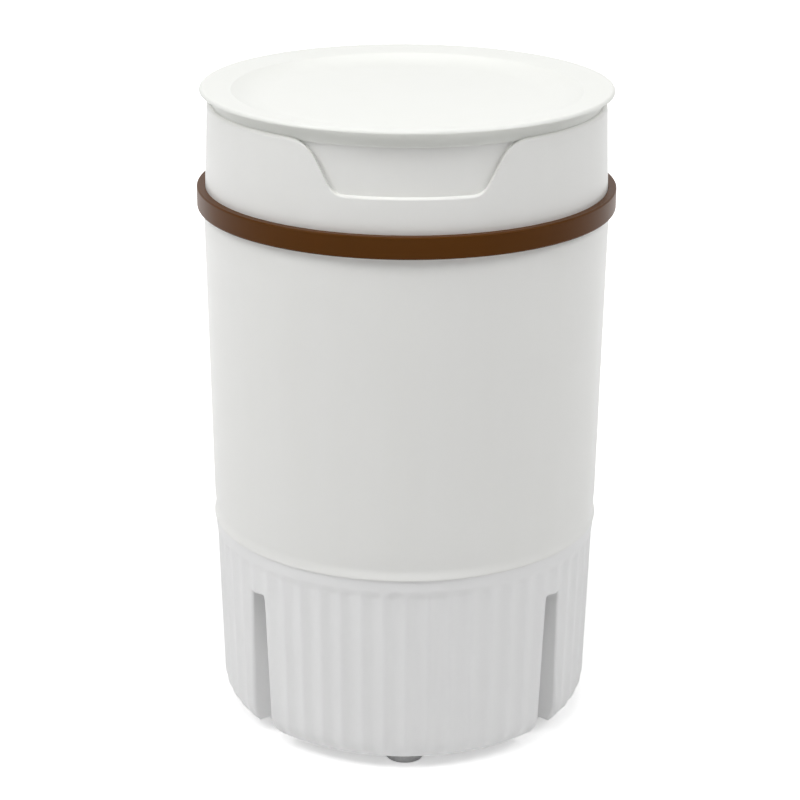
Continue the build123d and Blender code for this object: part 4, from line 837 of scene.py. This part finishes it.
def skirt_profile():
    """The skirt's rows, as (radius, height), from its top edge over the round lower edge and in."""
    fade_steps = 10
    straight_steps = 32
    edge_steps = 11
    top_edge = 0.5 * mm
    top_land = 4.0 * mm
    lean = atan2(base_top_radius - base_bottom_radius, base_top - base_bottom)
    start = base_edge_top - base_edge_radius * sin(lean)
    centre = skirt_radius_at(start) - base_edge_radius * cos(lean)
    edge = []
    for step in range(edge_steps + 1):
        turn = lean + (base_edge_sweep - lean) * step / edge_steps
        height = base_edge_top - base_edge_radius * sin(turn)
        edge.append((centre + base_edge_radius * cos(turn), height))
    heights = [base_top, base_top - top_edge, base_top - top_land, flute_top + top_edge]
    heights += [flute_top - flute_fade * step / fade_steps for step in range(fade_steps + 1)]
    first = heights[-1]
    heights += [first + (start - first) * step / straight_steps for step in range(1, straight_steps)]
    straight = [(skirt_radius_at(height), height) for height in heights]
    under = [(slot_back_radius + top_edge, base_corner), (slot_back_radius, base_bottom)]
    return straight + edge + under


skirt_rows = skirt_profile()
last_row = len(skirt_rows) - 1
edge_row = next(i for i, row in enumerate(skirt_rows) if row[1] < base_edge_top - base_edge_margin)


def row_near(height):
    """The row of the straight skin that is nearest to a height."""
    return min(range(edge_row), key=lambda row: abs(skirt_rows[row][1] - height))


def row_normal(row):
    """The way out of the skin at a row, as (outward, up)."""
    before = Vector(skirt_rows[max(0, row - 1)])
    after = Vector(skirt_rows[min(last_row, row + 1)])
    way = (after - before).normalized()
    return Vector((-way.y, way.x))


def mark_fluted(work, lines, rows):
    """Says which points the flutes move: all but those of the two rows underneath."""
    fluted = work.verts.layers.float["fluted"]
    for line in lines:
        for vertex, row in zip(line, rows):
            vertex[fluted] = 1.0 if row is None or row < last_row - 1 else 0.0


# A station joins a place on a window's border to a spot on its outline. On the round lower edge it
# has its row, and elsewhere the way to the window's outside.
Station = namedtuple("Station", "border spot outside row")

# A window takes the skin's faces between two columns and two rows. One that is open below also has
# the line that closes the underside there.
Window = namedtuple("Window", "first last top low sill")


def station_at(column, row, spot, outside=None, edge_of=None):
    """A station whose border is where a column and a row of the skin cross."""
    return Station((column_angle(column), *skirt_rows[row]), spot, outside, edge_of)


def edge_spots(station, floor_out, widest):
    """The points of a window's rounded edge at a station, from the skin inward, as (across, out,
    height). Out is along the way that the window faces, and the edge narrows where the room behind
    the skin does."""
    room_share = 0.8
    x, z = station.spot
    row = station.row
    deep = skirt_radius_at(z) if row is None else skirt_rows[row][0]
    room = sqrt(max(0, deep**2 - x**2)) - floor_out
    facing = 1 if row is None else max(0, row_normal(row).x)
    edge = min(widest * facing, room_share * max(0, room))
    spots = []
    for step in range(window_edge_rows + 1):
        turn = pi / 2 * step / window_edge_rows
        slide = edge * (1 - sin(turn))
        sink = edge * (1 - cos(turn))
        if row is None:
            across = x + station.outside.x * slide
            height = z + station.outside.y * slide
            out = sqrt(skirt_radius_at(height) ** 2 - across**2) - sink
        elif row == last_row:
            across, height, out = x, skirt_rows[row][1], floor_out
        else:
            way = row_normal(row)
            across = x + (slide if x > 0 else -slide)
            out = sqrt(skirt_rows[row][0] ** 2 - across**2) - sink * way.x
            height = skirt_rows[row][1] - sink * way.y
        spots.append((across, out, height))
    return spots


def add_window(work, centre, stations, floor_out, widest):
    """Faces from a window's border on the skin, over its rounded edge, to the line of its floor."""
    sheets = [[] for _ in range(1 + window_skin_rows + window_edge_rows)]
    floor_line = []
    for station in stations:
        spots = edge_spots(station, floor_out, widest)
        across, out, height = spots[0]
        spot = Vector((centre + atan2(across, out), hypot(across, out), height))
        border = Vector(station.border)
        for step in range(window_skin_rows + 1):
            sheets[step].append(polar(*border.lerp(spot, step / window_skin_rows)))
        for step in range(1, window_edge_rows + 1):
            sheets[window_skin_rows + step].append(world_spot(centre, *spots[step]))
        across, out, height = spots[-1]
        floor_line.append(world_spot(centre, across, floor_out, height))
    rows = [station.row for station in stations]
    mark_fluted(work, add_sheet(work, sheets), rows)
    mark_fluted(work, add_sheet(work, [sheets[-1], floor_line])[:1], rows)
    return sheets, floor_line


def slot_half_width(height):
    """Half of a slot's width; it widens downward."""
    share = (height - base_bottom) / (slot_top - base_bottom)
    return (slot_bottom_width + (slot_top_width - slot_bottom_width) * share) / 2


def slot_stations(centre, low, high, ridge, top_row):
    """Stations round a slot between two flutes: up its left side, along its top, where one lies on
    the ridge nearest its middle, and down its right side."""
    start_z = skirt_rows[edge_row][1]
    left = [(-slot_half_width(start_z), start_z, 0), (-slot_half_width(slot_top), slot_top, slot_corner)]
    path = rounded(left + [(-x, z, bend) for x, z, bend in left[::-1]], closed=False)
    length = sum((b - a).length for a, b in zip(path, path[1:]))
    ridge_x = skirt_radius_at(slot_top) * sin(column_angle(ridge * flute_steps) - centre)
    corner_share = (slot_top - start_z - 0.2 * slot_corner) / length
    ridge_share = 0.5 + ridge_x / length

    def side(column, sign):
        """The stations of one side, upward."""
        found = []
        for row in range(last_row, edge_row, -1):
            height = skirt_rows[row][1]
            found.append(station_at(column, row, (sign * slot_half_width(height), height), None, row))
        for row in range(edge_row, top_row - 1, -1):
            rise = (skirt_rows[row][1] - start_z) / (skirt_rows[top_row][1] - start_z)
            share = rise * corner_share
            spot, right = path_at(path, share if sign < 0 else 1 - share)
            found.append(station_at(column, row, spot, -right))
        return found

    top = []
    for column in range(low * flute_steps + 1, high * flute_steps):
        flute = column / flute_steps
        if flute < ridge:
            share = (flute - low) / (ridge - low)
            share = corner_share + (ridge_share - corner_share) * share
        else:
            share = (flute - ridge) / (high - ridge)
            share = ridge_share + (1 - corner_share - ridge_share) * share
        spot, right = path_at(path, share)
        top.append(station_at(column, top_row, spot, -right))
    return side(low * flute_steps, -1) + top + side(high * flute_steps, 1)[::-1]


def add_slot(work, centre):
    """An upright slot that is open below: its edge, its walls and its back."""
    border = 0.3
    top_border = 5.0 * mm
    middle = (centre + pi / 2) * flute_count / (2 * pi)
    half = asin(slot_bottom_width / 2 / base_bottom_radius) * flute_count / (2 * pi)
    low = floor(middle - half - border)
    high = ceil(middle + half + border)
    top_row = row_near(slot_top + top_border)
    stations = slot_stations(centre, low, high, round(middle), top_row)
    sheets, floor_line = add_window(work, centre, stations, slot_back_radius, slot_edge)
    steps = (high - low) * flute_steps - 2 * window_skin_rows
    sill = [floor_line[0].lerp(floor_line[-1], step / steps) for step in range(1, steps)]
    work.faces.new([work.verts.new(point) for point in floor_line + sill[::-1]])
    across = sheets[: window_skin_rows + 1]
    line = [sheet[0] for sheet in across] + sill + [sheet[-1] for sheet in across[::-1]]
    return Window(low * flute_steps, high * flute_steps, top_row, last_row, line)


def pocket_stations(low, high, top_row, low_row):
    """Stations round the pocket from the middle of one side: up, along its top, down the other side,
    back along its bottom and up."""
    half_width = pocket_width / 2
    pocket_top = pocket_bottom + pocket_height
    middle_z = pocket_bottom + pocket_height / 2
    path = rounded(
        [
            (-half_width, middle_z, 0),
            (-half_width, pocket_top, pocket_corner),
            (half_width, pocket_top, pocket_corner),
            (half_width, pocket_bottom, pocket_corner),
            (-half_width, pocket_bottom, pocket_corner),
            (-half_width, middle_z, 0),
        ],
        closed=False,
    )
    length = sum((b - a).length for a, b in zip(path, path[1:]))
    corner_bow = pocket_corner * (2 - pi / 2) / 2
    side_share = (pocket_height / 2 - corner_bow) / length
    across_share = (pocket_width - 2 * corner_bow) / length
    z_low, z_high = skirt_rows[low_row][1], skirt_rows[top_row][1]
    middle_row = min(
        range(top_row, low_row), key=lambda row: abs(skirt_rows[row][1] - (z_low + z_high) / 2)
    )
    z_middle = skirt_rows[middle_row][1]
    stations = []

    def add(column, row, share):
        spot, right = path_at(path, share % 1)
        stations.append(station_at(column, row, spot, -right))

    def across_at(column):
        """Where a column meets the pocket's upper and lower edge, from -1 to 1. Near the middle it is
        straight above its place in the skin, and from there on the spaces are even."""
        straight = 2
        half = (high - low) / 2
        offset = column / flute_steps - (low + high) / 2
        radius = skirt_radius_at(middle_z)
        if abs(offset) <= straight:
            return sin(2 * pi * offset / flute_count) * radius / half_width
        inner = sin(2 * pi * straight / flute_count) * radius / half_width
        value = inner + (1 - inner) * (abs(offset) - straight) / (half - straight)
        return value if offset > 0 else -value

    def rise(row):
        """A row's place between the middle and an end of the pocket's side, as a path share."""
        end = z_high if row <= middle_row else z_low
        return abs(skirt_rows[row][1] - z_middle) / abs(end - z_middle) * side_share

    first, last = low * flute_steps, high * flute_steps
    far_middle = 2 * side_share + across_share
    for row in range(middle_row, top_row - 1, -1):
        add(first, row, rise(row))
    for column in range(first + 1, last):
        add(column, top_row, side_share + (1 + across_at(column)) * across_share / 2)
    for row in range(top_row, low_row + 1):
        add(last, row, far_middle + (-rise(row) if row <= middle_row else rise(row)))
    for column in range(last - 1, first, -1):
        add(column, low_row, far_middle + side_share + (1 - across_at(column)) * across_share / 2)
    for row in range(low_row, middle_row, -1):
        add(first, row, 2 * far_middle - rise(row))
    return stations + stations[:1]


def add_pocket(work):
    """The service pocket at the back: its edge, its walls and its back panel."""
    border = 6.0 * mm
    half_flutes = 4
    middle = flute_count // 2
    low, high = middle - half_flutes, middle + half_flutes
    top_row = row_near(pocket_bottom + pocket_height + border)
    low_row = row_near(pocket_bottom - border)
    stations = pocket_stations(low, high, top_row, low_row)
    _, floor_line = add_window(work, pi / 2, stations, pocket_y, pocket_edge)
    add_pocket_panel(work, [Vector((point.x, point.z)) for point in floor_line[:-1]])
    return Window(low * flute_steps, high * flute_steps, top_row, low_row, None)


def add_pocket_panel(work, flat):
    """The pocket's back, inside its outline, open where its fittings go through."""
    steps = 40
    # What a fitting's flange adds to its radius, and the clearance of its hole
    fittings = {
        "power_button": (2.0 * mm, gap),
        "indicator_lens": (0, 0.05 * mm),
        "power_inlet": (2.0 * mm, 0.1 * mm),
        "drain_spout": (4.0 * mm, 0.1 * mm),
    }
    edges = [(i, (i + 1) % len(flat)) for i in range(len(flat))]
    openings = []
    for node, (flange, clearance) in fittings.items():
        low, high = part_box(node)
        middle = Vector(((low.x + high.x) / 2, (low.z + high.z) / 2))
        radius = (high.x - low.x) / 2 - flange + clearance
        openings.append((middle, radius))
        first = len(flat)
        for step in range(steps):
            turn = 2 * pi * step / steps
            flat.append(middle + Vector((cos(turn), sin(turn))) * radius)
            edges.append((first + step, first + (step + 1) % steps))
    spots, _, triangles, *_ = delaunay_2d_cdt(flat, edges, [], 1, join_distance)
    panel = [work.verts.new((spot.x, pocket_y, spot.y)) for spot in spots]
    for triangle in triangles:
        middle = sum((spots[i] for i in triangle), Vector((0, 0))) / 3
        if all((middle - place).length > radius for place, radius in openings):
            work.faces.new([panel[i] for i in triangle])


def add_skin(work, windows):
    """The plain part of the skin, between the windows."""
    columns = flute_count * flute_steps
    for row in range(last_row):
        beside = [window for window in windows if window.top <= row < window.low]
        column = 0
        while column < columns:
            inside = next((window for window in beside if window.first <= column < window.last), None)
            if inside:
                column = inside.last
                continue
            end = min([window.first for window in beside if window.first > column] + [columns])
            span = range(column, end + 1)
            lines = [[polar(column_angle(i), *skirt_rows[j]) for i in span] for j in (row, row + 1)]
            for j, line in zip((row, row + 1), add_sheet(work, lines)):
                mark_fluted(work, [line], [j] * len(line))
            column = end


def add_underside(work, windows):
    """The underside, from the skin and the slots in, and down to the cover's seat."""
    cover_edge = 0.4 * mm
    columns = flute_count * flute_steps
    line = []
    column = 0
    while column <= columns:
        slot = next((window for window in windows if window.sill and window.first == column), None)
        if slot:
            line += slot.sill[:-1]
            column = slot.last
        else:
            line.append(polar(column_angle(column), *skirt_rows[last_row]))
            column += 1
    seat = base_bottom + cover_thickness + gap
    profile = rounded(
        [
            (slot_back_radius, base_bottom, 0),
            (cover_radius + gap, base_bottom, cover_edge),
            (cover_radius + gap, seat, 0),
            (cover_radius - cover_ledge, seat, 0),
        ],
        closed=False,
    )
    rings = [[polar(column_angle(i), *point) for i in range(columns + 1)] for point in profile[1:]]
    add_sheet(work, [line, *rings])


def make_flutes(skirt):
    """Sinks the flutes: soft valleys between round ridges, that fade out above and below."""
    tree, sockets, given = new_group(
        "Fluted skirt",
        Flutes="Int",
        Depth="Float",
        Step="Float",
        Top="Float",
        Fade="Float",
        Bottom="Float",
        LowFade="Float",
    )
    valley_power = 1.5
    place = add_node(tree, "GeometryNodeInputPosition").outputs[0]
    parts = add_node(tree, "ShaderNodeSeparateXYZ", {0: place}).outputs
    flat = add_node(tree, "ShaderNodeVectorMath", {0: place, 1: (1, 1, 0)}, operation="MULTIPLY")
    outward = add_node(tree, "ShaderNodeVectorMath", {0: flat.outputs[0]}, operation="NORMALIZE")
    angle = calc(tree, "ADD", calc(tree, "ARCTAN2", parts["Y"], parts["X"]), pi / 2)
    turn = calc(tree, "DIVIDE", calc(tree, "MULTIPLY", angle, given["Flutes"]), 2 * pi)
    across = calc(tree, "SUBTRACT", calc(tree, "FRACT", turn), 0.5)
    square = calc(tree, "POWER", calc(tree, "MULTIPLY", across, 2.0), 2.0)
    valley = calc(tree, "POWER", calc(tree, "SUBTRACT", 1.0, square), valley_power)
    cut = calc(tree, "MULTIPLY", valley, given["Depth"])
    for end, run, sign in (("Bottom", "LowFade", "ADD"), ("Top", "Fade", "SUBTRACT")):
        full = calc(tree, sign, given[end], given[run])
        ends = {"Value": parts["Z"], "From Min": given[end], "From Max": full}
        fade = add_node(tree, "ShaderNodeMapRange", ends, interpolation_type="SMOOTHSTEP")
        if end == "Top":
            cut = calc(tree, "ADD", cut, given["Step"])
        cut = calc(tree, "MULTIPLY", cut, fade.outputs[0])
    share = add_node(tree, "GeometryNodeInputNamedAttribute", {"Name": "fluted"}, data_type="FLOAT")
    cut = calc(tree, "MULTIPLY", calc(tree, "MULTIPLY", cut, share.outputs["Attribute"]), -1.0)
    way = {0: outward.outputs[0], "Scale": cut}
    shift = add_node(tree, "ShaderNodeVectorMath", way, operation="SCALE").outputs[0]
    moved = {"Geometry": given["Geometry"], "Offset": shift}
    end_group(tree, add_node(tree, "GeometryNodeSetPosition", moved).outputs[0], given)
    use_group(
        skirt,
        tree,
        sockets,
        Flutes=flute_count,
        Depth=flute_depth,
        Step=flute_step,
        Top=flute_top,
        Fade=flute_fade,
        Bottom=flute_bottom,
        LowFade=flute_low_fade,
        Finish=finishes["base_white"],
    )


def make_base():
    """The fluted skirt with four slots that are open below, and the service pocket at the back."""
    thin_share = 0.02
    work = bmesh.new()
    work.verts.layers.float.new("fluted")
    windows = []
    for side in (-pi / 2, pi / 2):
        for turn in (-slot_angle, slot_angle):
            centre = (side + turn + pi / 2) % (2 * pi) - pi / 2
            windows.append(add_slot(work, centre))
    windows.append(add_pocket(work))
    add_skin(work, windows)
    add_underside(work, windows)
    mesh = closed_mesh("base_skin", work)
    skirt = bpy.data.objects.new("base_skin", mesh)
    bpy.context.scene.collection.objects.link(skirt)
    make_flutes(skirt)

    # The wall is thin beside the slots, where their walls stand close behind the skin
    full = skirt.vertex_groups.new(name="Full wall")
    for vertex in mesh.vertices:
        low = vertex.co.z < slot_top + 3 * shell_wall
        turn = atan2(abs(vertex.co.x), abs(vertex.co.y))
        near = abs(turn - slot_angle) < slot_bottom_width / base_bottom_radius
        if not (low and near):
            full.add([vertex.index], 1.0, "REPLACE")
    wall = skirt.modifiers.new("Wall", "SOLIDIFY")
    wall.thickness = shell_wall
    wall.offset = -1
    wall.vertex_group = full.name
    wall.thickness_vertex_group = thin_share
    show("base_moulding", baked("base_skirt", skirt), "base_skirt")


# Feet
def make_feet():
    """Round rubber feet that taper upward, with a soft lower edge and a bore for the screw."""
    steps = 64
    taper = 1.0 * mm
    spigot = 6.0 * mm
    head_bore = 3.1 * mm
    shank_bore = 1.6 * mm
    bore_round = 0.3 * mm
    low_round = 0.5 * mm
    top = base_bottom
    for node in foot_nodes:
        low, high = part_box(node)
        middle = (low + high) / 2
        outline = [
            (head_bore, 0, bore_round),
            (foot_radius, 0, low_round),
            (foot_radius - taper, top, 0),
            (spigot, top, 0),
            (spigot, high.z, 0),
            (shank_bore, high.z, 0),
            (shank_bore, top / 2, 0),
            (head_bore, top / 2, 0),
        ]
        mesh = turned(node + "_rubber", rounded(outline), steps)
        mesh.transform(Matrix.Translation((middle.x, middle.y, 0)))
        show(node + "_rubber", mesh, node)


# Screws of the underside
def screw_boxes(node):
    """The low and the high corner of each screw of a solid that holds several."""
    work = joined(node)
    left = set(work.verts)
    boxes = []
    for start in work.verts:
        if start not in left:
            continue
        screw = {start}
        border = [start]
        while border:
            near = {end for link in border.pop().link_edges for end in link.verts} - screw
            screw |= near
            left -= near
            border += near
        spots = [vertex.co.copy() for vertex in screw]
        low = Vector([min(spot[axis] for spot in spots) for axis in range(3)])
        high = Vector([max(spot[axis] for spot in spots) for axis in range(3)])
        boxes.append((low, high))
    work.free()
    return boxes


def cross_depth(x, y, radius):
    """How deep the cross recess is at a spot of a screw's head; its arms narrow and rise outward."""
    arm_length = 0.6 * radius
    arm_width = 0.17 * radius
    recess = 0.4 * radius
    widen, narrow, rise = 1.15, 0.5, 0.6
    depth = 0
    for along, across in ((abs(x), abs(y)), (abs(y), abs(x))):
        share = along / arm_length
        if share < 1 and across < arm_width * (widen - narrow * share):
            depth = max(depth, recess * (1 - rise * share))
    return depth


def screw_mesh(radius, length):
    """One pan-head screw with a cross recess; its head's crown is at the origin and faces down."""
    crown = 0.22 * radius
    head = 0.75 * radius
    shank = 0.5 * radius
    rings = 18
    steps = 96
    turns = [2 * pi * step / steps for step in range(steps + 1)]
    rows = []
    for ring in range(rings + 1):
        r = radius * ring / rings
        spots = [(r * cos(turn), r * sin(turn)) for turn in turns]
        bowl = crown * (r / radius) ** 2
        rows.append([(x, y, bowl + cross_depth(x, y, radius)) for x, y in spots])
    for r, z in ((radius, head), (shank, head), (shank, length - shank), (0, length)):
        rows.append([(r * cos(turn), r * sin(turn), z) for turn in turns])
    work = bmesh.new()
    add_sheet(work, rows)
    return closed_mesh("screw", work)


def make_screws(node):
    """Puts one screw at each place where the solid has one."""
    boxes = screw_boxes(node)
    low, high = boxes[0]
    screw = bpy.data.objects.new("screw", screw_mesh((high.x - low.x) / 2, high.z - low.z))
    points = bpy.data.meshes.new("screw_places")
    places = [((low.x + high.x) / 2, (low.y + high.y) / 2, low.z) for low, high in boxes]
    points.from_pydata(places, [], [])
    group = bpy.data.objects.new("screw_places", points)
    for piece in (screw, group):
        bpy.context.scene.collection.objects.link(piece)
    tree, sockets, given = new_group("Screws in their places", Screw="Object")
    one = add_node(tree, "GeometryNodeObjectInfo", {"Object": given["Screw"]}).outputs["Geometry"]
    placed = {"Points": given["Geometry"], "Instance": one}
    end_group(tree, add_node(tree, "GeometryNodeInstanceOnPoints", placed).outputs[0], given)
    use_group(group, tree, sockets, Screw=screw, Finish=finishes[slots[node]])
    mesh = baked(node, group)
    bpy.data.objects.remove(screw)
    show(node + "_set", mesh, node)


bpy.context.scene.view_settings.view_transform = "Standard"
make_camera()
make_world()
make_floor()
make_lamp("overhead", (-0.1, 0.9, 2.2), 1.2, 6.5)
make_lamp("top front", (-0.2, -1.1, 2.1), 1.0, 13.5)
make_lamp("high left", (-1.5, -0.7, 1.9), 1.0, 21.0)
make_lamp("high right", (1.5, -0.7, 1.9), 1.0, 17.5)
make_lamp("low front", (-0.2, -2.2, 0.12), 0.9, 0.7)
make_lid()
make_collar()
make_ring()
make_barrel()
make_base()
make_feet()
for node in screw_nodes:
    make_screws(node)
remade = {"lid", "collar", "trim_ring", "barrel", "base_skirt", *foot_nodes, *screw_nodes}
for node in nodes:
    if node not in remade:
        smooth_copy(node + "_piece", node)
